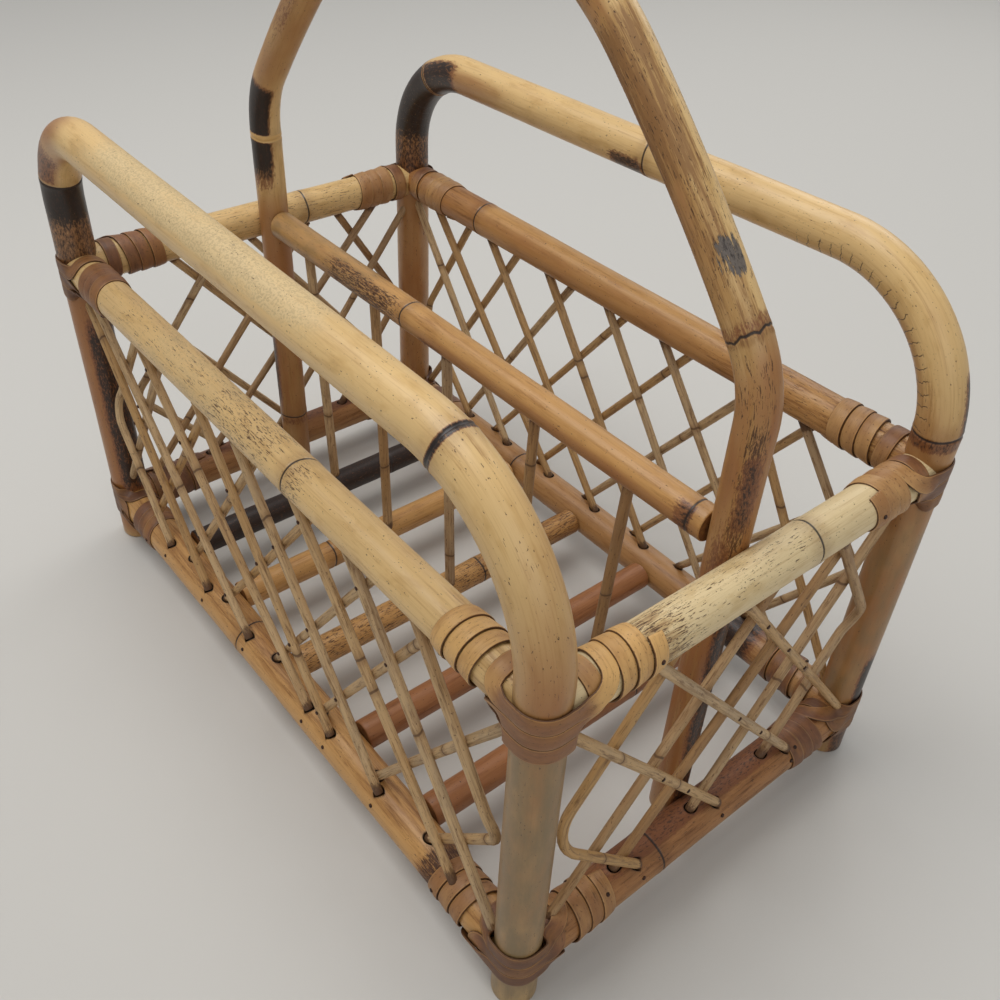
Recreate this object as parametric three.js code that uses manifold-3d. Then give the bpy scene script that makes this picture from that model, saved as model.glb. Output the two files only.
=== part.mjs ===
// A magazine basket built from bamboo poles. Two bent hoops form the long sides, and their legs are
// the four corner posts. Rim rails and lower rails are coped between the posts, slanted reeds in two
// layers are let into them, and poles across the bottom carry what stands in the basket. A bent
// handle spans the length, with a rail and thin sticks under it that divide the space in two. A cane
// strip binds every corner where two rails meet a post.
// Millimetres, +Z up, +X towards the near end, origin on the ground under the middle.
import * as THREE from "three";
import { mergeVertices } from "three/addons/utils/BufferGeometryUtils.js";
import Module from "manifold-3d";

const wasm = await Module();
wasm.setup();

// Body of the basket
const BODY_LENGTH = 451; // between post axes
const BODY_WIDTH = 260; // between post axes
const LOWER_RAIL_HEIGHT = 31; // rail axes above the ground
const RIM_HEIGHT = 220; // rim axes above the ground
const HOOP_THICKNESS = 25;
const RIM_THICKNESS = 24;
const LOWER_RAIL_THICKNESS = 25.5;
const JOINT_CLEARANCE = 0.3; // between a coped end, socket or notch and the piece in it

// Side hoops, with each bend as a share of the hoop's height above the top of the rim rails
const LEFT_HOOP = { farHeight: 315, nearHeight: 312, farBendShare: 0.627, nearBendShare: 0.975 };
const RIGHT_HOOP = { farHeight: 312, nearHeight: 317, farBendShare: 0.8125, nearBendShare: 0.918 };

// Handle arch
const HANDLE_THICKNESS = 21;
const HANDLE_FOOT_HEIGHT = 23;
const HANDLE_NOTCH = 3.5; // depth that the legs are let into the lower end rails
const SHOULDER_HEIGHT = 288; // where the legs start to lean in
const SHOULDER_BEND_RADIUS = 62;
const FLANK_BEND_RADIUS = 870;
const SHOULDER_SLOPE = THREE.MathUtils.degToRad(51.5);
const CROWN_SLOPE = THREE.MathUtils.degToRad(43.5);

// Divider
const DIVIDER_THICKNESS = 19;
const DIVIDER_HEIGHT = 226;
const STICK_THICKNESS = 7;
const STICK_SOCKET = 5; // depth of the blind holes that hold the sticks

// Floor
const SLAT_THICKNESS = 19.5;

// Reeds
const REED_THICKNESS = 6;
const REED_SOCKET = 8; // depth of the blind holes, along the reed
const REED_BEDDING = 0.8; // how far two reeds nailed at a crossing press into each other
const REED_TURN = 14; // length before and after a reed's bend that is rounded
const REED_FOOT_SHIFT = 3; // outward, from the rim down to the holes in the lower rail

// Node rings of the poles
const NODE_RISE = 0.9;
const NODE_REACH = 4;

// Cane strips
const STRIP_WIDTH = 8;
const STRIP_THICKNESS = 1;
const STRIP_GAP = 0.8; // between neighbouring turns
const STRIP_LAYER_GAP = 0.6; // where the strip crosses over itself
const STRIP_TURN_RADIUS = 5.3; // where it swings from a rail to the post
const STRIP_CORNER_CLEARANCE = 0.6; // to the strip round the other rail
const STRIP_CROSSING_GAP = 2.5; // between the turn next to the post and the rest
const HELIX_TURNS = 3;
const RIM_PASS_DROP = 4.6; // of the middle pass across the post, below the rail's axis
const LOWER_PASS_RISE = 5; // the same above the axis at the lower rails
const CROSSING_ANGLE = THREE.MathUtils.degToRad(50); // turned on a rail between the helix and a pass

// Facets
const POLE_SIDES = 12;
const REED_SIDES = 6;
const STICK_SIDES = 8;
const BEND_STEPS = 4;
const TURN_STEPS = 8;
const WELD_DISTANCE = 0.001;

// Taper of a pole from its thick end to its thin end
const POLE_TAPER_SHARE = 0.03;

// Places of nodes as shares of a pole's length from its first end
const LEFT_HOOP_NODE_SHARES = [0.275, 0.669];
const RIGHT_HOOP_NODE_SHARES = [0.309, 0.517, 0.761];
const HANDLE_NODE_SHARES = [0.041, 0.238, 0.48, 0.721];
const LEFT_RIM_NODE_SHARES = [0.604];
const RIGHT_RIM_NODE_SHARES = [0.203];
const END_RIM_NODE_SHARES = [0.62];
const LEFT_LOWER_NODE_SHARES = [0.405];
const RIGHT_LOWER_NODE_SHARES = [0.323];
const END_LOWER_NODE_SHARES = [0.36];
const DIVIDER_NODE_SHARES = [0.39];

// Places of the floor poles and of the foot and top of the stick on each, as shares of the half
// length, and each pole's node along its length
const SLAT_SHARES = [
  { place: -0.657, node: 0.7, stickFoot: -0.657, stickTop: -0.718 },
  { place: -0.364, node: 0.3, stickFoot: -0.342, stickTop: -0.373 },
  { place: -0.029, node: 0.62, stickFoot: -0.009, stickTop: -0.04 },
  { place: 0.294, node: 0.35, stickFoot: 0.294, stickTop: 0.314 },
  { place: 0.588, node: 0.66, stickFoot: 0.588, stickTop: 0.633 },
];

// Reeds of the long sides: where each one leaves the rim and where it meets the lower rail. A share
// up to 1 is one of half the clear length between the bindings, and the rest, up to 2, is one of the
// length under a binding
const RIGHT_REED_SHARES = {
  inner: [
    [-1.875, -0.599], [-1.360, -0.293], [-0.750, 0.019], [-0.374, 0.327],
    [-0.022, 0.681], [0.279, 1.119], [0.704, 1.839],
  ],
  outer: [
    [-0.600, -1.725], [-0.253, -0.939], [0.056, -0.719], [0.400, -0.388],
    [0.704, -0.059], [0.957, 0.252], [1.924, 0.517],
  ],
};
const LEFT_REED_SHARES = {
  outer: [
    [-1.963, -0.553], [-1.683, -0.220], [-0.840, 0.216], [-0.400, 0.363],
    [-0.133, 0.665], [0.234, 1.214], [0.536, 1.785],
  ],
  inner: [
    [-0.708, -1.963], [-0.346, -1.208], [0.003, -0.732], [0.353, -0.440],
    [0.686, -0.044], [0.957, 0.272], [1.905, 0.625],
  ],
};

// Reeds of the ends, in the same shares of the width
const END_REED_SHARES = {
  outer: [[-1.923, 0.124], [-0.981, 0.994], [-0.139, 1.844]],
  inner: [[1.333, -0.9], [1.95, -0.059], [0.461, -1.658]],
};

// Reeds that turn back at a post: top, bottom, and the height of the bend between the rails
const RIGHT_TURNED_SHARES = [
  { top: 0.933, bottom: 0.877, bendShare: 0.56, side: 1, above: "inner" },
  { top: -0.934, bottom: -0.893, bendShare: 0.44, side: -1, above: "outer" },
];
const LEFT_TURNED_SHARES = [
  { top: 0.867, bottom: 0.926, bendShare: 0.41, side: 1, above: "outer" },
  { top: -0.898, bottom: -0.885, bendShare: 0.5, side: -1, above: "inner" },
];
const END_TURNED_SHARES = [
  { top: 0.886, bottom: 0.796, bendShare: 0.5, side: 1, above: "outer" },
  { top: -0.518, bottom: -0.769, bendShare: 0.42, side: -1, above: "inner" },
];

const HALF_LENGTH = BODY_LENGTH / 2;
const HALF_WIDTH = BODY_WIDTH / 2;
const UP = new THREE.Vector3(0, 0, 1);
const ALONG_X = new THREE.Vector3(1, 0, 0);
const ALONG_Y = new THREE.Vector3(0, 1, 0);

const COLOURS = {
  pale: 0xdcb873,
  honey: 0xc9994f,
  brown: 0xa5682f,
  red: 0x864423,
  charred: 0x3a2a20,
  bleached: 0xddcd9c,
  reed: 0xb7986a,
  cane: 0xb08a55,
};

// Closed skin through a row of rings of points, each ring turning anticlockwise about the way ahead
function skin(rings) {
  const count = rings[0].length;
  const places = rings.flat().flatMap((point) => point.toArray());
  const faces = [];
  for (let ring = 0; ring < rings.length - 1; ring++) {
    for (let corner = 0; corner < count; corner++) {
      const next = (corner + 1) % count;
      const here = ring * count;
      const ahead = here + count;
      faces.push(here + corner, here + next, ahead + next);
      faces.push(here + corner, ahead + next, ahead + corner);
    }
  }
  const last = (rings.length - 1) * count;
  for (let corner = 1; corner < count - 1; corner++) {
    faces.push(0, corner + 1, corner);
    faces.push(last, last + corner, last + corner + 1);
  }
  const geometry = new THREE.BufferGeometry();
  geometry.setAttribute("position", new THREE.Float32BufferAttribute(places, 3));
  geometry.setIndex(faces);
  return geometry;
}

// Direction of a line of points at one of them
function headingAt(points, index) {
  const before = points[Math.max(index - 1, 0)];
  const after = points[Math.min(index + 1, points.length - 1)];
  return after.clone().sub(before).normalize();
}

// Round bar through a row of points, with a radius at each and facets counted from the side vector
function roundBar(points, radii, side, sides) {
  const rings = points.map((point, index) => {
    const heading = headingAt(points, index);
    const across = side.clone().addScaledVector(heading, -side.dot(heading)).normalize();
    const outward = across.clone().cross(heading);
    return Array.from({ length: sides }, (_, corner) => {
      const angle = (2 * Math.PI * (corner + 1 / 2)) / sides;
      return point
        .clone()
        .addScaledVector(outward, radii[index] * Math.cos(angle))
        .addScaledVector(across, radii[index] * Math.sin(angle));
    });
  });
  return skin(rings);
}

function solidOf(geometry) {
  const bare = geometry.clone();
  bare.deleteAttribute("normal");
  bare.deleteAttribute("uv");
  const merged = mergeVertices(bare, WELD_DISTANCE);
  return new wasm.Manifold(
    new wasm.Mesh({
      numProp: 3,
      vertProperties: merged.attributes.position.array,
      triVerts: new Uint32Array(merged.index.array),
    }),
  );
}

function geometryOf(solid) {
  const mesh = solid.getMesh();
  const geometry = new THREE.BufferGeometry();
  geometry.setAttribute("position", new THREE.BufferAttribute(mesh.vertProperties, mesh.numProp));
  geometry.setIndex(new THREE.BufferAttribute(mesh.triVerts, 1));
  return geometry;
}

function cutBy(solid, cutters) {
  return cutters.reduce((rest, cutter) => rest.subtract(cutter), solid);
}

// A pole along a line of points. Its radius falls slowly from the first end to the last, and it
// swells at each node. Grown by a clearance it is the cutter for what is fitted round it.
function pole(line, thickness, nodeShares, side, growth = 0) {
  const lengths = [0];
  for (let index = 1; index < line.length; index++) {
    lengths.push(lengths[index - 1] + line[index].distanceTo(line[index - 1]));
  }
  const total = lengths[lengths.length - 1];
  const nodes = nodeShares.map((share) => share * total);
  const extra = nodes.flatMap((node) => [node - NODE_REACH, node, node + NODE_REACH]);
  const stops = [...lengths, ...extra].sort((a, b) => a - b);
  const distances = stops.filter((stop, index) => !index || stop - stops[index - 1] > JOINT_CLEARANCE);
  const points = distances.map((distance) => {
    const ahead = lengths.findIndex((length) => length >= distance - WELD_DISTANCE);
    const end = Math.max(ahead, 1);
    const share = (distance - lengths[end - 1]) / (lengths[end] - lengths[end - 1]);
    return line[end - 1].clone().lerp(line[end], THREE.MathUtils.clamp(share, 0, 1));
  });
  const radii = distances.map((distance) => {
    const nearest = Math.min(NODE_REACH, ...nodes.map((node) => Math.abs(distance - node)));
    const taper = 1 - POLE_TAPER_SHARE * (distance / total);
    return (thickness / 2) * taper + NODE_RISE * (1 - nearest / NODE_REACH) + growth;
  });
  return solidOf(roundBar(points, radii, side, POLE_SIDES));
}

// Points of a flat bent line in the XZ plane, from straight runs and arcs
function bentLine(outline, offset) {
  return outline.getPoints(BEND_STEPS).map((point) => new THREE.Vector3(point.x, offset, point.y));
}

const RIM_TOP = RIM_HEIGHT + RIM_THICKNESS / 2;

function hoopLine({ farHeight, nearHeight, farBendShare, nearBendShare }, offset) {
  const farBend = (farHeight - RIM_TOP) * farBendShare;
  const nearBend = (nearHeight - RIM_TOP) * nearBendShare;
  const farCentre = { x: -HALF_LENGTH + farBend, z: farHeight - farBend };
  const nearCentre = { x: HALF_LENGTH - nearBend, z: nearHeight - nearBend };
  const outline = new THREE.Path();
  outline.moveTo(-HALF_LENGTH, 0);
  outline.lineTo(-HALF_LENGTH, farCentre.z);
  outline.absarc(farCentre.x, farCentre.z, farBend, Math.PI, Math.PI / 2, true);
  outline.lineTo(nearCentre.x, nearHeight);
  outline.absarc(nearCentre.x, nearCentre.z, nearBend, Math.PI / 2, 0, true);
  outline.lineTo(HALF_LENGTH, 0);
  return bentLine(outline, offset);
}

// The handle leans in at the shoulders, runs up the flanks in a slow curve and closes in a crown
const LEG_PLACE = HALF_LENGTH - LOWER_RAIL_THICKNESS / 2 - HANDLE_THICKNESS / 2 + HANDLE_NOTCH;

function handleLine() {
  const shoulderCentre = LEG_PLACE - SHOULDER_BEND_RADIUS;
  const flankCentre = new THREE.Vector2(
    shoulderCentre + (SHOULDER_BEND_RADIUS - FLANK_BEND_RADIUS) * Math.sin(SHOULDER_SLOPE),
    SHOULDER_HEIGHT + (SHOULDER_BEND_RADIUS - FLANK_BEND_RADIUS) * Math.cos(SHOULDER_SLOPE),
  );
  const crownStart = flankCentre.x + FLANK_BEND_RADIUS * Math.sin(CROWN_SLOPE);
  const crownRadius = crownStart / Math.sin(CROWN_SLOPE);
  const crownCentre = flankCentre.y + (FLANK_BEND_RADIUS - crownRadius) * Math.cos(CROWN_SLOPE);
  const shoulderEnd = Math.PI / 2 - SHOULDER_SLOPE;
  const flankEnd = Math.PI / 2 - CROWN_SLOPE;
  const outline = new THREE.Path();
  outline.moveTo(-LEG_PLACE, HANDLE_FOOT_HEIGHT);
  outline.lineTo(-LEG_PLACE, SHOULDER_HEIGHT);
  outline.absarc(
    -shoulderCentre, SHOULDER_HEIGHT, SHOULDER_BEND_RADIUS, Math.PI, Math.PI - shoulderEnd, true,
  );
  outline.absarc(
    -flankCentre.x, flankCentre.y, FLANK_BEND_RADIUS, Math.PI - shoulderEnd, Math.PI - flankEnd, true,
  );
  outline.absarc(0, crownCentre, crownRadius, Math.PI - flankEnd, flankEnd, true);
  outline.absarc(flankCentre.x, flankCentre.y, FLANK_BEND_RADIUS, flankEnd, shoulderEnd, true);
  outline.absarc(shoulderCentre, SHOULDER_HEIGHT, SHOULDER_BEND_RADIUS, shoulderEnd, 0, true);
  outline.lineTo(LEG_PLACE, HANDLE_FOOT_HEIGHT);
  return bentLine(outline, 0);
}

const leftHoop = hoopLine(LEFT_HOOP, -HALF_WIDTH);
const rightHoop = hoopLine(RIGHT_HOOP, HALF_WIDTH);
const handle = handleLine();

const solids = new Map();
const leftHoopSolid = pole(leftHoop, HOOP_THICKNESS, LEFT_HOOP_NODE_SHARES, ALONG_Y);
const rightHoopSolid = pole(rightHoop, HOOP_THICKNESS, RIGHT_HOOP_NODE_SHARES, ALONG_Y);
const handleSolid = pole(handle, HANDLE_THICKNESS, HANDLE_NODE_SHARES, ALONG_Y);
const postRoom = [
  pole(leftHoop, HOOP_THICKNESS, LEFT_HOOP_NODE_SHARES, ALONG_Y, JOINT_CLEARANCE),
  pole(rightHoop, HOOP_THICKNESS, RIGHT_HOOP_NODE_SHARES, ALONG_Y, JOINT_CLEARANCE),
];
const handleRoom = pole(handle, HANDLE_THICKNESS, [], ALONG_Y, JOINT_CLEARANCE);

// Cane strip round a corner: turns round the long rail, three passes across the post with a turn
// round each rail between them, then turns round the end rail
function railRoute(thickness) {
  const facetShare = 1 / Math.cos(Math.PI / TURN_STEPS);
  return (thickness / 2 + JOINT_CLEARANCE + STRIP_THICKNESS / 2) * facetShare;
}

const STRIP_PITCH = STRIP_WIDTH + STRIP_GAP;
const STRIP_LIFT = STRIP_THICKNESS + STRIP_LAYER_GAP;
const POST_STEPS = 3;
const POST_FACET_SHARE = 1 / Math.cos(Math.PI / (4 * POST_STEPS));
const POST_ROUTE = (HOOP_THICKNESS / 2 + JOINT_CLEARANCE + STRIP_THICKNESS / 2) * POST_FACET_SHARE;
const SWING_STEPS = 4;
const POST_LEAD = (HOOP_THICKNESS / 2) * 0.64; // beside the post's axis, where it starts to lie upright

function innerTurnPlace(thickness) {
  return railRoute(thickness) + STRIP_THICKNESS / 2 + STRIP_CORNER_CLEARANCE + STRIP_WIDTH / 2;
}

function outerTurnPlace(thickness) {
  return innerTurnPlace(thickness) + STRIP_WIDTH + STRIP_CROSSING_GAP;
}

function wrapEnd(thickness) {
  return outerTurnPlace(thickness) + HELIX_TURNS * STRIP_PITCH + STRIP_WIDTH / 2;
}

// Stations of the strip: a place and the way its outer face looks
function stripStations(corner, { height, thickness, passLevel }) {
  const post = new THREE.Vector3(corner.x * HALF_LENGTH, corner.y * HALF_WIDTH, height);
  const rails = [
    { away: ALONG_X.clone().multiplyScalar(-corner.x), out: ALONG_Y.clone().multiplyScalar(corner.y) },
    { away: ALONG_Y.clone().multiplyScalar(-corner.y), out: ALONG_X.clone().multiplyScalar(corner.x) },
  ];
  const route = railRoute(thickness);
  const near = innerTurnPlace(thickness);
  const far = outerTurnPlace(thickness);
  const swing = near - STRIP_TURN_RADIUS;
  const swingAngle = STRIP_TURN_RADIUS / route;
  const passAngle = (count) => (passLevel + count * STRIP_PITCH) / route;
  const stations = [];
  const onRail = (rail, along, angle, lift = 0) => {
    const { away, out } = rails[rail];
    const face = out.clone().multiplyScalar(Math.cos(angle)).addScaledVector(UP, Math.sin(angle));
    const at = post.clone().addScaledVector(away, along).addScaledVector(face, route + lift);
    stations.push({ at, face });
  };
  const besidePost = (rail, level) => {
    const { away, out } = rails[rail];
    const at = post.clone().addScaledVector(away, POST_LEAD).addScaledVector(out, POST_ROUTE);
    stations.push({ at: at.addScaledVector(UP, level), face: out.clone() });
  };
  const acrossPost = (firstRail, level) => {
    besidePost(firstRail, level);
    for (let step = 0; step <= POST_STEPS; step++) {
      const angle = (Math.PI / 2) * (step / POST_STEPS);
      const face = rails[firstRail].out
        .clone()
        .multiplyScalar(Math.cos(angle))
        .addScaledVector(rails[1 - firstRail].out, Math.sin(angle));
      const at = post.clone().addScaledVector(face, POST_ROUTE).addScaledVector(UP, level);
      stations.push({ at, face });
    }
    besidePost(1 - firstRail, level);
  };
  const helix = (rail, startAngle, outward) => {
    const steps = HELIX_TURNS * TURN_STEPS;
    for (let step = 1; step <= steps; step++) {
      const count = outward ? step : steps + 1 - step;
      const along = far + STRIP_PITCH * (count / TURN_STEPS);
      const turned = 2 * Math.PI * (count / TURN_STEPS);
      onRail(rail, along, startAngle + (outward ? turned : -turned));
    }
  };
  // Quarter turn between the helix and the passes, over the turn that lies next to the post
  const crossOver = (rail, outward) => {
    for (let step = 0; step <= SWING_STEPS; step++) {
      const share = outward ? 1 - step / SWING_STEPS : step / SWING_STEPS;
      const arc = (Math.PI / 2) * share;
      const along = far - (far - swing) * (1 - Math.cos(arc));
      const turned = CROSSING_ANGLE * (1 - Math.sin(arc));
      const angle = outward ? passAngle(1) + turned : passAngle(-1) - turned;
      onRail(rail, along, angle, STRIP_LIFT * Math.min(1, 2 * share));
    }
  };
  // One turn round a rail next to the post, from one pass to the next
  const innerTurn = (rail, startAngle, endAngle) => {
    const quarter = (arc) => [
      near - STRIP_TURN_RADIUS * (1 - Math.sin(arc)),
      swingAngle * (1 - Math.cos(arc)),
    ];
    const halfWay = quarter(Math.PI / 4);
    onRail(rail, swing, startAngle);
    onRail(rail, halfWay[0], startAngle - halfWay[1]);
    const first = startAngle - swingAngle;
    const last = endAngle - 2 * Math.PI + swingAngle;
    const steps = TURN_STEPS - 2;
    for (let step = 0; step <= steps; step++) {
      onRail(rail, near, first + (last - first) * (step / steps));
    }
    onRail(rail, halfWay[0], last - swingAngle + halfWay[1]);
    onRail(rail, swing, last - swingAngle);
  };
  helix(0, passAngle(-1) - CROSSING_ANGLE, false);
  crossOver(0, false);
  acrossPost(0, passLevel - STRIP_PITCH);
  innerTurn(1, passAngle(-1), passAngle(0));
  acrossPost(1, passLevel);
  innerTurn(0, passAngle(0), passAngle(1));
  acrossPost(0, passLevel + STRIP_PITCH);
  crossOver(1, true);
  helix(1, passAngle(1) + CROSSING_ANGLE, true);
  return stations;
}

function stripRings(stations, widthCount = 1) {
  const points = stations.map((station) => station.at);
  return stations.map((station, index) => {
    const heading = headingAt(points, index);
    const face = station.face.clone().addScaledVector(heading, -station.face.dot(heading)).normalize();
    const across = heading.clone().cross(face);
    const ring = [];
    for (const [depth, way] of [[0.5, 1], [-0.5, -1]]) {
      for (let step = 0; step <= widthCount; step++) {
        const width = way * (step / widthCount - 1 / 2);
        ring.push(
          station.at
            .clone()
            .addScaledVector(face, STRIP_THICKNESS * depth)
            .addScaledVector(across, STRIP_WIDTH * width),
        );
      }
    }
    return ring;
  });
}

// Least distance between two stretches of one strip that don't follow each other directly
const GAP_SAMPLES = 8;
const FOLLOWING_LENGTH = 3 * STRIP_WIDTH;

function leastGap(stations) {
  const rings = stripRings(stations, GAP_SAMPLES);
  const lengths = [0];
  for (let index = 1; index < stations.length; index++) {
    lengths.push(lengths[index - 1] + stations[index].at.distanceTo(stations[index - 1].at));
  }
  let least = Infinity;
  for (let first = 0; first < rings.length; first++) {
    for (let second = first + 1; second < rings.length; second++) {
      if (lengths[second] - lengths[first] < FOLLOWING_LENGTH) continue;
      for (const point of rings[first]) {
        for (const other of rings[second]) least = Math.min(least, point.distanceTo(other));
      }
    }
  }
  return least;
}

const CORNERS = [
  { name: "left_near", x: 1, y: -1 },
  { name: "left_far", x: -1, y: -1 },
  { name: "right_near", x: 1, y: 1 },
  { name: "right_far", x: -1, y: 1 },
];
const LEVELS = [
  { name: "rim", height: RIM_HEIGHT, thickness: RIM_THICKNESS, passLevel: -RIM_PASS_DROP },
  {
    name: "lower",
    height: LOWER_RAIL_HEIGHT,
    thickness: LOWER_RAIL_THICKNESS,
    passLevel: LOWER_PASS_RISE,
  },
];

const lashings = [];
for (const level of LEVELS) {
  for (const corner of CORNERS) {
    const stations = stripStations(corner, level);
    lashings.push({ name: `${corner.name}_${level.name}_lashing`, geometry: skin(stripRings(stations)) });
    if (corner === CORNERS[0]) {
      console.log(`${level.name} lashing: least gap to itself ${leastGap(stations).toFixed(2)} mm`);
    }
  }
}

// Room that the strips take up along each rail and round each post, which reeds and floor poles
// stop at
const ROOM_FACET_SHARE = 1 / Math.cos(Math.PI / POLE_SIDES);
const wrapRoom = LEVELS.flatMap((level) =>
  CORNERS.flatMap((corner) => {
    const post = new THREE.Vector3(corner.x * HALF_LENGTH, corner.y * HALF_WIDTH, level.height);
    const depth = STRIP_LIFT + STRIP_THICKNESS / 2 + JOINT_CLEARANCE;
    const radius = (railRoute(level.thickness) + depth) * ROOM_FACET_SHARE;
    const reach = wrapEnd(level.thickness) + JOINT_CLEARANCE;
    const alongLength = post.clone().addScaledVector(ALONG_X, -corner.x * reach);
    const alongWidth = post.clone().addScaledVector(ALONG_Y, -corner.y * reach);
    const passRadius = Math.hypot(POST_LEAD, POST_ROUTE + STRIP_THICKNESS / 2) + JOINT_CLEARANCE;
    const postRadius = passRadius * ROOM_FACET_SHARE;
    const passReach = STRIP_PITCH + STRIP_WIDTH / 2 + JOINT_CLEARANCE;
    const passes = [-passReach, passReach].map((step) =>
      post.clone().addScaledVector(UP, level.passLevel + step),
    );
    return [
      solidOf(roundBar([post, alongLength], [radius, radius], ALONG_Y, POLE_SIDES)),
      solidOf(roundBar([post, alongWidth], [radius, radius], ALONG_X, POLE_SIDES)),
      solidOf(roundBar(passes, [postRadius, postRadius], ALONG_X, POLE_SIDES)),
    ];
  }),
);

// A panel of reeds lies in the plane through its two rails
const longPanel = { along: ALONG_X, half: HALF_LENGTH, reach: HALF_WIDTH };
const endPanel = { along: ALONG_Y, half: HALF_WIDTH, reach: HALF_LENGTH };
const PANELS = {
  left: { ...longPanel, out: ALONG_Y.clone().negate() },
  right: { ...longPanel, out: ALONG_Y },
  near: { ...endPanel, out: ALONG_X },
  far: { ...endPanel, out: ALONG_X.clone().negate() },
};
const RIM_UNDERSIDE = RIM_HEIGHT - RIM_THICKNESS / 2;
const LOWER_RAIL_TOP = LOWER_RAIL_HEIGHT + LOWER_RAIL_THICKNESS / 2;

// Distance from the middle of a panel that a share stands for
function placeOf(panel, share) {
  const bound = wrapEnd(RIM_THICKNESS);
  const clear = panel.half - bound;
  const size = Math.abs(share);
  return Math.sign(share) * (Math.min(size, 1) * clear + Math.max(size - 1, 0) * bound);
}

function reedLine(panel, reed, layerOffset) {
  const depth = { outer: layerOffset, inner: -layerOffset };
  const place = (distance, height, layer) => {
    const fall = THREE.MathUtils.inverseLerp(RIM_UNDERSIDE, LOWER_RAIL_TOP, height);
    return new THREE.Vector3(0, 0, height)
      .addScaledVector(panel.along, distance)
      .addScaledVector(panel.out, panel.reach + depth[layer] + REED_FOOT_SHIFT * fall);
  };
  const topPlace = placeOf(panel, reed.top);
  const bottomPlace = placeOf(panel, reed.bottom);
  if (reed.bendShare === undefined) {
    return [place(topPlace, RIM_UNDERSIDE, reed.layer), place(bottomPlace, LOWER_RAIL_TOP, reed.layer)];
  }
  const below = reed.above === "outer" ? "inner" : "outer";
  const bendHeight = THREE.MathUtils.lerp(LOWER_RAIL_TOP, RIM_UNDERSIDE, reed.bendShare);
  const room = panel.half - HOOP_THICKNESS / 2 - REED_THICKNESS / 2 - JOINT_CLEARANCE;
  const top = place(topPlace, RIM_UNDERSIDE, reed.above);
  const bottom = place(bottomPlace, LOWER_RAIL_TOP, below);
  const corner = place(reed.side * room, bendHeight, reed.above);
  const cornerBelow = place(reed.side * room, bendHeight, below);
  const before = corner.clone().add(top.clone().sub(corner).setLength(REED_TURN));
  const after = cornerBelow.clone().add(bottom.clone().sub(cornerBelow).setLength(REED_TURN));
  const middle = corner.clone().lerp(cornerBelow, 1 / 2);
  const bend = new THREE.QuadraticBezierCurve3(before, middle, after).getPoints(BEND_STEPS);
  return [top, ...bend, bottom];
}

// Both ends run on into the rails by the depth of their sockets
function reedSolid(panel, line, growth) {
  const points = line.map((point) => point.clone());
  const last = points.length - 1;
  points[0].add(line[0].clone().sub(line[1]).setLength(REED_SOCKET + growth));
  points[last].add(line[last].clone().sub(line[last - 1]).setLength(REED_SOCKET + growth));
  const radii = points.map(() => REED_THICKNESS / 2 + growth);
  return solidOf(roundBar(points, radii, panel.out, REED_SIDES));
}

function straightReeds(table) {
  return Object.entries(table).flatMap(([layer, rows]) =>
    rows.map(([top, bottom]) => ({ top, bottom, layer })),
  );
}

const nailedOffset = (REED_THICKNESS - REED_BEDDING) / 2;
const freeOffset = (REED_THICKNESS + JOINT_CLEARANCE) / 2;
const reedSets = [
  { name: "left", straight: LEFT_REED_SHARES, turned: LEFT_TURNED_SHARES, offset: nailedOffset },
  { name: "right", straight: RIGHT_REED_SHARES, turned: RIGHT_TURNED_SHARES, offset: nailedOffset },
  { name: "near", straight: END_REED_SHARES, turned: END_TURNED_SHARES, offset: freeOffset },
  { name: "far", straight: END_REED_SHARES, turned: END_TURNED_SHARES, offset: freeOffset },
];

const reedPieces = [];
const socketsOf = {};
for (const set of reedSets) {
  const panel = PANELS[set.name];
  const reeds = [...straightReeds(set.straight), ...set.turned];
  const lines = reeds.map((reed) => reedLine(panel, reed, set.offset));
  const trimmed = lines.map((line) => cutBy(reedSolid(panel, line, 0), [...wrapRoom, ...postRoom]));
  socketsOf[set.name] = lines.map((line) => cutBy(reedSolid(panel, line, JOINT_CLEARANCE), wrapRoom));
  if (set.offset === nailedOffset) {
    const lattice = trimmed.reduce((whole, reed) => whole.add(reed));
    reedPieces.push({ name: `${set.name}_lattice`, solid: lattice });
  } else {
    trimmed.forEach((solid, index) => reedPieces.push({ name: `${set.name}_reed_${index + 1}`, solid }));
  }
}

// Rails run from post axis to post axis and are coped to the posts; an end rail is also coped to the
// long rails beside it and notched for the handle's leg
function longRail(side, height, thickness, nodeShares, growth = 0) {
  const ends = [-HALF_LENGTH, HALF_LENGTH].map((x) => new THREE.Vector3(x, side * HALF_WIDTH, height));
  return pole(ends, thickness, nodeShares, ALONG_Y, growth);
}

function endRail(side, height, thickness, nodeShares) {
  const ends = [-HALF_WIDTH, HALF_WIDTH].map((y) => new THREE.Vector3(side * HALF_LENGTH, y, height));
  return pole(ends, thickness, nodeShares, ALONG_X);
}

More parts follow.
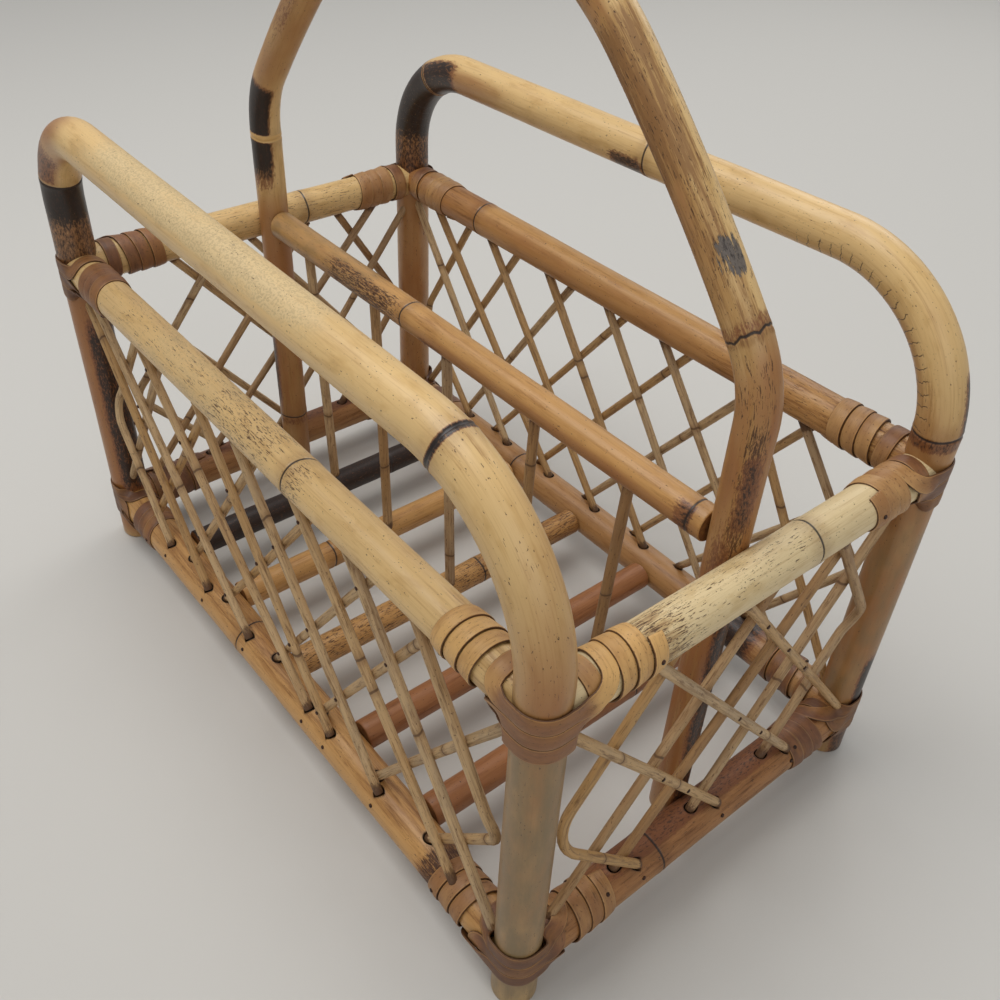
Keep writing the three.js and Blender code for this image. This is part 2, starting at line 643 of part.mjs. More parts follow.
const longRails = [
  { name: "left_rim_rail", side: -1, level: LEVELS[0], nodes: LEFT_RIM_NODE_SHARES, panel: "left" },
  { name: "right_rim_rail", side: 1, level: LEVELS[0], nodes: RIGHT_RIM_NODE_SHARES, panel: "right" },
  { name: "left_lower_rail", side: -1, level: LEVELS[1], nodes: LEFT_LOWER_NODE_SHARES, panel: "left" },
  { name: "right_lower_rail", side: 1, level: LEVELS[1], nodes: RIGHT_LOWER_NODE_SHARES, panel: "right" },
];
const endRails = [
  { name: "near_rim_rail", side: 1, level: LEVELS[0], nodes: END_RIM_NODE_SHARES, panel: "near" },
  { name: "far_rim_rail", side: -1, level: LEVELS[0], nodes: END_RIM_NODE_SHARES, panel: "far" },
  { name: "near_lower_rail", side: 1, level: LEVELS[1], nodes: END_LOWER_NODE_SHARES, panel: "near" },
  { name: "far_lower_rail", side: -1, level: LEVELS[1], nodes: END_LOWER_NODE_SHARES, panel: "far" },
];
const longRailRoom = longRails.map((rail) =>
  longRail(rail.side, rail.level.height, rail.level.thickness, rail.nodes, JOINT_CLEARANCE),
);
for (const rail of longRails) {
  const blank = longRail(rail.side, rail.level.height, rail.level.thickness, rail.nodes);
  solids.set(rail.name, cutBy(blank, [...postRoom, ...socketsOf[rail.panel]]));
}
for (const rail of endRails) {
  const blank = endRail(rail.side, rail.level.height, rail.level.thickness, rail.nodes);
  const cutters = [...postRoom, ...longRailRoom, handleRoom, ...socketsOf[rail.panel]];
  solids.set(rail.name, cutBy(blank, cutters));
}

// Divider: a rail between the handle's legs and thin sticks from it to the floor poles
const dividerReach = LEG_PLACE - HANDLE_THICKNESS / 2 - JOINT_CLEARANCE;
const stickFootHeight = LOWER_RAIL_HEIGHT + SLAT_THICKNESS / 2 - STICK_SOCKET;
const stickTopHeight = DIVIDER_HEIGHT - DIVIDER_THICKNESS / 2 + STICK_SOCKET;
const stickLines = SLAT_SHARES.map(({ stickFoot, stickTop }) => [
  new THREE.Vector3(stickFoot * HALF_LENGTH, 0, stickFootHeight),
  new THREE.Vector3(stickTop * HALF_LENGTH, 0, stickTopHeight),
]);

function stick(line, growth) {
  const points = line.map((point) => point.clone());
  points[0].z -= growth;
  points[1].z += growth;
  const radii = points.map(() => STICK_THICKNESS / 2 + growth);
  return solidOf(roundBar(points, radii, ALONG_Y, STICK_SIDES));
}

const stickRoom = stickLines.map((line) => stick(line, JOINT_CLEARANCE));
const dividerEnds = [-dividerReach, dividerReach].map((x) => new THREE.Vector3(x, 0, DIVIDER_HEIGHT));
const dividerBlank = pole(dividerEnds, DIVIDER_THICKNESS, DIVIDER_NODE_SHARES, ALONG_Y);
solids.set("divider_rail", cutBy(dividerBlank, stickRoom));

// Floor poles, square cut between the long lower rails
const slatReach = HALF_WIDTH - LOWER_RAIL_THICKNESS / 2 - JOINT_CLEARANCE;
SLAT_SHARES.forEach((slat, index) => {
  const ends = [-slatReach, slatReach].map(
    (y) => new THREE.Vector3(slat.place * HALF_LENGTH, y, LOWER_RAIL_HEIGHT),
  );
  const blank = pole(ends, SLAT_THICKNESS, [slat.node], ALONG_X);
  const cutters = [stickRoom[index], ...longRailRoom, ...wrapRoom];
  solids.set(`floor_pole_${index + 1}`, cutBy(blank, cutters));
});
stickLines.forEach((line, index) => solids.set(`divider_stick_${index + 1}`, stick(line, 0)));

const basket = new THREE.Group();

function material(colour, roughness) {
  return new THREE.MeshStandardMaterial({ color: colour, roughness, metalness: 0 });
}

function addPiece(group, name, geometry, colour, roughness) {
  const piece = new THREE.Mesh(geometry, material(colour, roughness));
  piece.name = name;
  group.add(piece);
}

const POLE_ROUGHNESS = 0.35;
const REED_ROUGHNESS = 0.6;
const CANE_ROUGHNESS = 0.5;
const frame = new THREE.Group();
const floor = new THREE.Group();
const divider = new THREE.Group();
const panels = new THREE.Group();
const bindings = new THREE.Group();
basket.add(frame, floor, divider, panels, bindings);

addPiece(frame, "left_hoop", geometryOf(leftHoopSolid), COLOURS.pale, POLE_ROUGHNESS);
addPiece(frame, "right_hoop", geometryOf(rightHoopSolid), COLOURS.pale, POLE_ROUGHNESS);
addPiece(frame, "handle_arch", geometryOf(handleSolid), COLOURS.pale, POLE_ROUGHNESS);
const pieceColours = {
  left_rim_rail: COLOURS.honey,
  right_rim_rail: COLOURS.honey,
  near_rim_rail: COLOURS.bleached,
  far_rim_rail: COLOURS.pale,
  left_lower_rail: COLOURS.brown,
  right_lower_rail: COLOURS.brown,
  near_lower_rail: COLOURS.brown,
  far_lower_rail: COLOURS.brown,
  divider_rail: COLOURS.honey,
  floor_pole_1: COLOURS.charred,
  floor_pole_2: COLOURS.honey,
  floor_pole_3: COLOURS.pale,
  floor_pole_4: COLOURS.red,
  floor_pole_5: COLOURS.red,
};
const groupOf = { floor, divider };
for (const [name, solid] of solids) {
  const group = groupOf[name.split("_")[0]] ?? frame;
  addPiece(group, name, geometryOf(solid), pieceColours[name] ?? COLOURS.honey, POLE_ROUGHNESS);
}
for (const { name, solid } of reedPieces) {
  addPiece(panels, name, geometryOf(solid), COLOURS.reed, REED_ROUGHNESS);
}
for (const { name, geometry } of lashings) {
  addPiece(bindings, name, geometry, COLOURS.cane, CANE_ROUGHNESS);
}

export default basket;
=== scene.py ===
"""Dresses the magazine basket: scorched bamboo poles, reed lattice, cane bindings, floor and light."""
import math
from collections import namedtuple

import bpy
import numpy as np
from bpy.props import FloatProperty, FloatVectorProperty, PointerProperty
from mathutils import Matrix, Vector
from mathutils.kdtree import KDTree


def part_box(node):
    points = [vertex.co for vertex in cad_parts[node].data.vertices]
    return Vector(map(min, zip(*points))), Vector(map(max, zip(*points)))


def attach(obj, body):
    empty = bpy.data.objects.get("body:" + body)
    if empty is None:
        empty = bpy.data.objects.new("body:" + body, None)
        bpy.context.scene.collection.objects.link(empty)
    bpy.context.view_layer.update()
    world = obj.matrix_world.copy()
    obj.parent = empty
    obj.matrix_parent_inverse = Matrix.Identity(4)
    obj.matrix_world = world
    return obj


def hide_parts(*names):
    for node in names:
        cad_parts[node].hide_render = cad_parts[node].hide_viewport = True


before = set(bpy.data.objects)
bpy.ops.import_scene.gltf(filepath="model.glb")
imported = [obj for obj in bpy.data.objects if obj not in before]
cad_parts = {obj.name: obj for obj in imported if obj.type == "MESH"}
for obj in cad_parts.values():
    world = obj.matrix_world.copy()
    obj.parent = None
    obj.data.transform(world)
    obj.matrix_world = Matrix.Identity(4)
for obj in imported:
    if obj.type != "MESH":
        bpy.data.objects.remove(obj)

bl_info = {
    "name": "Bamboo magazine basket",
    "version": (1, 0, 0),
    "blender": (4, 5, 0),
    "location": "View3D > Sidebar > Basket",
    "description": "Builds the poles, reeds, cane bindings and stage of a bamboo magazine basket",
    "category": "Object",
}

MM = 0.001
FULL_TURN = 2 * math.pi
QUARTER_TURN = math.pi / 2
UP = np.array([0.0, 0.0, 1.0])
ALONG_X = np.array([1.0, 0.0, 0.0])
ALONG_Y = np.array([0.0, 1.0, 0.0])


def middle(node):
    """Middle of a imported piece's box."""
    low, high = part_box(node)
    return (low + high) / 2


def linear(code):
    """Linear colour of an sRGB hex value."""
    parts = [int(code[start:start + 2], 16) / 255 for start in (1, 3, 5)]
    return [part / 12.92 if part <= 0.04045 else ((part + 0.055) / 1.055) ** 2.4 for part in parts]


def length_property(name, description, millimetres):
    return FloatProperty(
        name=name, description=description, default=millimetres * MM, unit="LENGTH", subtype="DISTANCE"
    )


def colour_property(name, description, code):
    return FloatVectorProperty(
        name=name, description=description, default=linear(code), size=3, min=0, max=1, subtype="COLOR"
    )


class BasketSizes(bpy.types.PropertyGroup):
    """Sizes of the basket's pieces."""

    hoop_thickness: length_property("Hoop thickness", "Bent poles of the long sides", 24.6)
    handle_thickness: length_property("Handle thickness", "Bent pole of the handle", 20.0)
    rim_thickness: length_property("Rim rail thickness", "Poles round the top of the sides", 23.6)
    lower_thickness: length_property("Lower rail thickness", "Poles round the bottom", 25.1)
    divider_thickness: length_property("Divider rail thickness", "Rail between the handle's legs", 18.7)
    slat_thickness: length_property("Floor pole thickness", "Poles across the bottom", 19.2)
    stick_thickness: length_property("Divider stick thickness", "Sticks under the divider rail", 6.9)
    reed_thickness: length_property("Reed thickness", "Reeds of the sides", 5.9)
    strip_width: length_property("Cane strip width", "Strip that binds the corners", 8.9)
    strip_thickness: length_property("Cane strip thickness", "Thickness of the same strip", 1.0)
    pin_head: length_property("Pin head width", "Heads of the pins that hold the reeds", 2.4)


class BasketColours(bpy.types.PropertyGroup):
    """Colours of the basket's finishes."""

    pale: colour_property("Pale bamboo", "Skin of the palest poles", "#D6B37A")
    honey: colour_property("Honey bamboo", "Skin of the honey-coloured poles", "#C09156")
    brown: colour_property("Brown bamboo", "Skin of the lower rails", "#AA7D4C")
    red: colour_property("Red-brown bamboo", "Skin of two floor poles", "#9E683E")
    bleached: colour_property("Bleached bamboo", "Skin of the sun-bleached rail", "#DAC396")
    char: colour_property("Scorched skin", "Where a flame bent or marked the pole", "#1B1411")
    reed: colour_property("Reed", "Thin reeds of the sides", "#BEA077")
    cane: colour_property("Cane strip", "Flat strip round the corners", "#D4A767")
    floor: colour_property("Floor", "Plain pale floor", "#CAC7C1")


# Rails and posts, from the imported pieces
HALF_LENGTH = middle("near_rim_rail").x
HALF_WIDTH = middle("right_rim_rail").y
RIM_HEIGHT = middle("left_rim_rail").z
LOWER_HEIGHT = middle("left_lower_rail").z
DIVIDER_HEIGHT = middle("divider_rail").z
RIM_RADIUS = 12 * MM
LOWER_RADIUS = 12.75 * MM
POST_RADIUS = 12.5 * MM

# Side hoops: heights and bend radii at the far and the near end
LEFT_HOOP = {"far_height": 315 * MM, "near_height": 312 * MM, "far_bend": 52 * MM, "near_bend": 78 * MM}
RIGHT_HOOP = {"far_height": 312 * MM, "near_height": 317 * MM, "far_bend": 65 * MM, "near_bend": 78 * MM}

# Handle: its legs, the radii of its bends and the slopes where they meet
LEG_PLACE = 205.75 * MM
HANDLE_FOOT = 23 * MM
SHOULDER_HEIGHT = 288 * MM
SHOULDER_BEND = 62 * MM
FLANK_BEND = 870 * MM
SHOULDER_SLOPE = math.radians(51.5)
CROWN_SLOPE = math.radians(43.5)

# Fineness of the meshes
MERGE_GAP = 1e-7
ARC_STEP = 1 * MM
LEAST_ARC_STEPS = 6
STRAIGHT_POINTS = 40
NODE_SPAN = 5.4 * MM
NODE_STEP = 0.6 * MM
LEAST_STEP = NODE_STEP * 0.3
STATION_DIGITS = 6
BEVEL_STOP = 0.35
POLE_FORM = {"sides": 32, "step": 3.5 * MM, "bevel": 0.6 * MM, "taper": 0.03}
REED_FORM = {"sides": 12, "step": 4 * MM, "bevel": 0.4 * MM, "taper": 0.06}

# Unevenness of a pole: shares of its radius, and the lengths of the waves along it
OVAL_SHARE = 0.006
SHORT_WAVE_SHARE = 0.006
SHORT_WAVE = 23 * MM
LONG_WAVE_SHARE = 0.0042
LONG_WAVE = 61 * MM

# Node rings of a pole of the posts' radius: a ridge with a groove in it, that wander along the pole
RIDGE = 0.36 * MM
RIDGE_REACH = 3.2 * MM
GROOVE = 0.65 * MM
GROOVE_REACH = 0.7 * MM
RING_WANDER = 0.7 * MM
WANDER_REACH = 3 * NODE_SPAN
STEADY_END = 4 * NODE_SPAN
RIPPLES = ((1, 1.0), (3, 0.45))
JAGS = ((5, 1.0), (11, 0.8))
JAG_SHARE = 0.9
NO_NODE = 1.0
GRAIN_SHIFT = 400
FACING_SOFT = 0.5


def smooth(value):
    """Soft step from zero to one."""
    value = np.clip(value, 0, 1)
    return value * value * (3 - 2 * value)


def window(distance, start, end, soft, last_soft=None):
    """One between two distances, fading over a soft length at each."""
    last_soft = soft if last_soft is None else last_soft
    return smooth((distance - start) / soft + 0.5) * smooth((end - distance) / last_soft + 0.5)


def unit(vectors):
    """Vectors brought to length one."""
    return vectors / np.linalg.norm(vectors, axis=-1, keepdims=True)


class Route:
    """A line of points with the distance along it."""

    def __init__(self, points):
        points = np.asarray(points, float)
        steps = np.linalg.norm(np.diff(points, axis=0), axis=1)
        self.kept = np.concatenate([[True], steps > MERGE_GAP])
        self.points = points[self.kept]
        steps = np.linalg.norm(np.diff(self.points, axis=0), axis=1)
        self.lengths = np.concatenate([[0], np.cumsum(steps)])
        self.total = self.lengths[-1]
        self.tangents = unit(np.gradient(self.points, self.lengths, axis=0))

    def read(self, distance, table):
        """Rows of a table with one row for each point, at distances along the line."""
        return np.stack([np.interp(distance, self.lengths, table[:, axis]) for axis in range(3)], -1)

    def at(self, distance):
        return self.read(distance, self.points)

    def heading(self, distance):
        return unit(self.read(distance, self.tangents))


def arc(centre_x, centre_z, radius, start, end, y):
    """Points of an upright arc."""
    count = max(int(abs(end - start) * radius / ARC_STEP), LEAST_ARC_STEPS)
    return [
        (centre_x + radius * math.cos(angle), y, centre_z + radius * math.sin(angle))
        for angle in np.linspace(start, end, count + 1)
    ]


def straight(start, end):
    return Route(np.linspace(start, end, STRAIGHT_POINTS))


def hoop_route(y, far_height, near_height, far_bend, near_bend):
    """Middle line of a side hoop, from the far foot to the near one."""
    points = [(-HALF_LENGTH, y, 0)]
    points += arc(-HALF_LENGTH + far_bend, far_height - far_bend, far_bend, math.pi, QUARTER_TURN, y)
    points += arc(HALF_LENGTH - near_bend, near_height - near_bend, near_bend, QUARTER_TURN, 0, y)
    points.append((HALF_LENGTH, y, 0))
    return Route(points)


def handle_route():
    """Middle line of the handle, from the far foot to the near one."""
    shoulder = LEG_PLACE - SHOULDER_BEND
    flank_x = shoulder + (SHOULDER_BEND - FLANK_BEND) * math.sin(SHOULDER_SLOPE)
    flank_z = SHOULDER_HEIGHT + (SHOULDER_BEND - FLANK_BEND) * math.cos(SHOULDER_SLOPE)
    crown_start = flank_x + FLANK_BEND * math.sin(CROWN_SLOPE)
    crown_radius = crown_start / math.sin(CROWN_SLOPE)
    crown_z = flank_z + (FLANK_BEND - crown_radius) * math.cos(CROWN_SLOPE)
    shoulder_end = QUARTER_TURN - SHOULDER_SLOPE
    flank_end = QUARTER_TURN - CROWN_SLOPE
    near = arc(0, crown_z, crown_radius, QUARTER_TURN, flank_end, 0)
    near += arc(flank_x, flank_z, FLANK_BEND, flank_end, shoulder_end, 0)
    near += arc(shoulder, SHOULDER_HEIGHT, SHOULDER_BEND, shoulder_end, 0, 0)
    near.append((LEG_PLACE, 0, HANDLE_FOOT))
    far = [(-x, y, z) for x, y, z in near]
    return Route(far[::-1] + near)


def grid_mesh(name, rings):
    """Closed mesh through rings of points, with its two end faces listed last."""
    count, sides = rings.shape[:2]
    ring = np.arange(count - 1)[:, None] * sides
    corner = np.arange(sides)[None, :]
    following = (corner + 1) % sides
    walls = np.stack(
        [ring + corner, ring + following, ring + sides + following, ring + sides + corner], -1
    ).reshape(-1, 4).tolist()
    ends = [list(range(sides))[::-1], list(range((count - 1) * sides, count * sides))]
    mesh = bpy.data.meshes.new(name)
    mesh.from_pydata(rings.reshape(-1, 3).tolist(), [], walls + ends)
    mesh.polygons.foreach_set("use_smooth", [True] * len(walls) + [False] * len(ends))
    return mesh


def store(mesh, name, values):
    """Store a number or a vector at every point of a mesh."""
    values = np.asarray(values, np.float32)
    kind = "FLOAT_VECTOR" if values.shape[-1] == 3 and values.ndim == 3 else "FLOAT"
    attribute = mesh.attributes.new(name, kind, "POINT")
    field = "vector" if kind == "FLOAT_VECTOR" else "value"
    attribute.data.foreach_set(field, values.reshape(-1))


def store_grain(mesh, parts, rng):
    """Store places in millimetres with the third along the grain, shifted so that no two pieces match."""
    shift = rng.uniform(-GRAIN_SHIFT, GRAIN_SHIFT, 3)
    store(mesh, "grain", np.stack(parts, -1) / MM + shift)


def show(name, data):
    """Object with the given data, in the scene."""
    shown = bpy.data.objects.new(name, data)
    bpy.context.scene.collection.objects.link(shown)
    return shown


def settle(piece, replaces=()):
    """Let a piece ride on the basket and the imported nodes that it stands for."""
    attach(piece, "root")
    if replaces:
        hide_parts(*replaces)


def place(mesh, materials, node):
    """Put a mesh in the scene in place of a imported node."""
    for material in materials:
        mesh.materials.append(bpy.data.materials[material])
    piece = show(mesh.name, mesh)
    settle(piece, [node])
    return piece


def tube_stations(total, nodes, step, bevel):
    """Distances of a bar's rings of points: close at the nodes and the bevelled ends, wider between."""
    stops = [0, bevel * BEVEL_STOP, bevel]
    stops += list(np.arange(bevel + step, total - bevel, step))
    stops += [total - bevel, total - bevel * BEVEL_STOP, total]
    for node in nodes:
        stops += list(np.arange(node - NODE_SPAN, node + NODE_SPAN, NODE_STEP))
    stops = np.unique(np.round([stop for stop in stops if 0 <= stop <= total], STATION_DIGITS))
    kept = np.concatenate([[True], np.diff(stops) > LEAST_STEP])
    kept[-1] = True
    return stops[kept]


def waves(angle, turns, rows):
    """Sum of waves round a bar, each with how many go round it and its height."""
    return sum(height * np.sin(count * angle + turn) for (count, height), turn in zip(rows, turns))


def tube(name, route, radius, side, seed, nodes, jagged, sides, step, bevel, taper):
    """Round bar along a route, with its distances, outward directions and mesh."""
    rng = np.random.default_rng(seed)
    stops = tube_stations(route.total, nodes, step, bevel)
    angles = np.linspace(0, FULL_TURN, sides, endpoint=False)
    distance = np.repeat(stops[:, None], sides, 1)
    angle = np.repeat(angles[None, :], len(stops), 0)
    wander = np.zeros_like(distance)
    for node in nodes:
        turns = rng.uniform(0, FULL_TURN, 2)
        ripple = waves(angle, turns, RIPPLES)
        if node in jagged:
            ripple += JAG_SHARE * waves(angle, turns, JAGS)
        wander += RING_WANDER * ripple * np.exp(-(((distance - node) / WANDER_REACH) ** 2))
    open_part = window(distance, STEADY_END, route.total - STEADY_END, STEADY_END)
    placed = np.clip(distance + wander * open_part, 0, route.total)
    heading = route.heading(placed)
    across = unit(side - heading * (heading @ side)[..., None])
    outward = np.cross(across, heading)
    direction = np.cos(angle)[..., None] * outward + np.sin(angle)[..., None] * across
    oval, short, long, _ = rng.uniform(0, FULL_TURN, 4)
    size = radius * (1 - taper * distance / route.total)
    size *= 1 + OVAL_SHARE * np.cos(2 * angle + oval)
    size *= 1 + SHORT_WAVE_SHARE * np.sin(distance / SHORT_WAVE + short)
    size *= 1 + LONG_WAVE_SHARE * np.sin(distance / LONG_WAVE + long + angle)
    nearest = np.full_like(distance, NO_NODE)
    for node in nodes:
        away = distance - node
        nearest = np.where(np.abs(away) < np.abs(nearest), away, nearest)
    scale = radius / POST_RADIUS
    size += scale * RIDGE * np.exp(-((nearest / RIDGE_REACH) ** 2))
    size -= scale * GROOVE * np.exp(-((nearest / GROOVE_REACH) ** 2))
    to_end = np.minimum(distance, route.total - distance)
    size -= bevel * (1 - np.sqrt(np.clip(to_end / bevel, 0, 1)))
    mesh = grid_mesh(name, route.at(placed) + size[..., None] * direction)
    store_grain(mesh, [radius * np.cos(angle), radius * np.sin(angle), distance], rng)
    store(mesh, "node_distance", np.abs(nearest) / MM)
    return mesh, distance, direction


def marked(distance, direction, rows):
    """Strength of rows of marks: start, end, soft length (or one for each end) and strength, and for a
    mark on one side the direction that it faces and how far round it stops."""
    total = np.zeros_like(distance)
    for start, end, soft, strength, *one_side in rows:
        softs = np.broadcast_to(soft, 2) * MM
        value = window(distance, start * MM, end * MM, *softs)
        if one_side:
            facing, stop = one_side
            toward = direction @ unit(np.asarray(facing, float))
            value *= smooth((toward - stop) / FACING_SOFT + 0.5)
        total = np.maximum(total, strength * value)
    return total


def pole(node, route, thickness, side, material, seed, rings, marks, jagged=()):
    """Bamboo pole with node rings at shares of its length, some of them jagged, and its scorched,
    cracked, stained, scratched and worn places, a few of which are painted shade."""
    places = [share * route.total for share in rings]
    torn = [share * route.total for share in jagged]
    mesh, distance, direction = tube(
        node + "_skin", route, thickness / 2, side, seed, places, torn, **POLE_FORM
    )
    for mark, rows in marks.items():
        store(mesh, mark, marked(distance, direction, rows))
    for end in list(mesh.polygons)[-2:]:
        end.material_index = 1
    return place(mesh, [material, "cut_bamboo_end"], node)


# Materials


def add(tree, kind, inputs=None, **settings):
    """Add a shader node with its settings and its inputs, each a value or another node's output."""
    node = tree.nodes.new("ShaderNode" + kind)
    for key, value in settings.items():
        setattr(node, key, value)
    for key, value in (inputs or {}).items():
        if isinstance(value, bpy.types.NodeSocket):
            tree.links.new(value, node.inputs[key])
        else:
            node.inputs[key].default_value = value
    return node


def rgba(colour):
    return (*colour, 1)


def tinted(colour, red, green, blue):
    return [colour[0] * red, colour[1] * green, colour[2] * blue]


def start_material(name):
    """New material with its node tree and its surface shader."""
    material = bpy.data.materials.new(name)
    material.use_nodes = True
    tree = material.node_tree
    tree.nodes.clear()
    shader = add(tree, "BsdfPrincipled")
    add(tree, "OutputMaterial", {"Surface": shader.outputs[0]})
    return tree, shader


def read_skin(tree, marks, patterns):
    """Values of a skin by name: the marks that its mesh carries, and noise over its grain. Each pattern
    has its stretch along the pole, cells to a millimetre across it, detail and roughness."""
    values = {name: add(tree, "Attribute", attribute_name=name).outputs["Fac"] for name in marks}
    grain = add(tree, "Attribute", attribute_name="grain").outputs["Vector"]
    for name, stretch, cells, detail, roughness in patterns:
        stretched = add(tree, "VectorMath", {0: grain, 1: (1, 1, stretch)}, operation="MULTIPLY")
        values[name] = add(tree, "TexNoise", {
            "Vector": stretched.outputs[0], "Scale": cells, "Detail": detail, "Roughness": roughness,
        }).outputs[0]
    return values


def lay_coats(tree, shader, values, ground, masks, coats, products=()):
    """Lay colours over a ground, each through its mask.

    A mask is a soft step of a value: from, to and most, and a second value with its share if one is
    added first. A product is one value times another."""
    for name, source, low, high, most, *second in masks:
        value = values[source]
        if second:
            added, share = second
            value = add(
                tree, "Math", {0: values[added], 1: share, 2: value}, operation="MULTIPLY_ADD"
            ).outputs[0]
        values[name] = add(tree, "MapRange", {
            "Value": value, "From Min": low, "From Max": high, "To Max": most,
        }, interpolation_type="SMOOTHSTEP").outputs[0]
    for name, first, second in products:
        values[name] = add(
            tree, "Math", {0: values[first], 1: values[second]}, operation="MULTIPLY", use_clamp=True
        ).outputs[0]
    colour = rgba(ground)
    for over, mask in coats:
        colour = add(
            tree, "Mix", {0: values[mask], 6: colour, 7: rgba(over)}, data_type="RGBA"
        ).outputs[2]
    tree.links.new(colour, shader.inputs["Base Color"])


def raise_grain(tree, shader, values, rows, strength, depth):
    """Bump from a sum of values, each with its height."""
    height = 0.0
    for name, share in rows:
        height = add(
            tree, "Math", {0: values[name], 1: share, 2: height}, operation="MULTIPLY_ADD"
        ).outputs[0]
    bump = add(tree, "Bump", {"Strength": strength, "Distance": depth, "Height": height})
    tree.links.new(bump.outputs["Normal"], shader.inputs["Normal"])


# Values that the mesh of a pole can carry, and the roughness where its skin is worn through
POLE_MARKS = (
    "node_distance", "scorch", "crack", "stain", "scratch", "aged", "weathered", "worn",
    "bare", "socket", "lip",
)
DRY_ROUGHNESS = 0.7

# Heat cracks in millimetres: half the way from one to the next, and how far they wander
CRACK_HALF_STEP = 3.4
CRACK_WANDER = 9.0


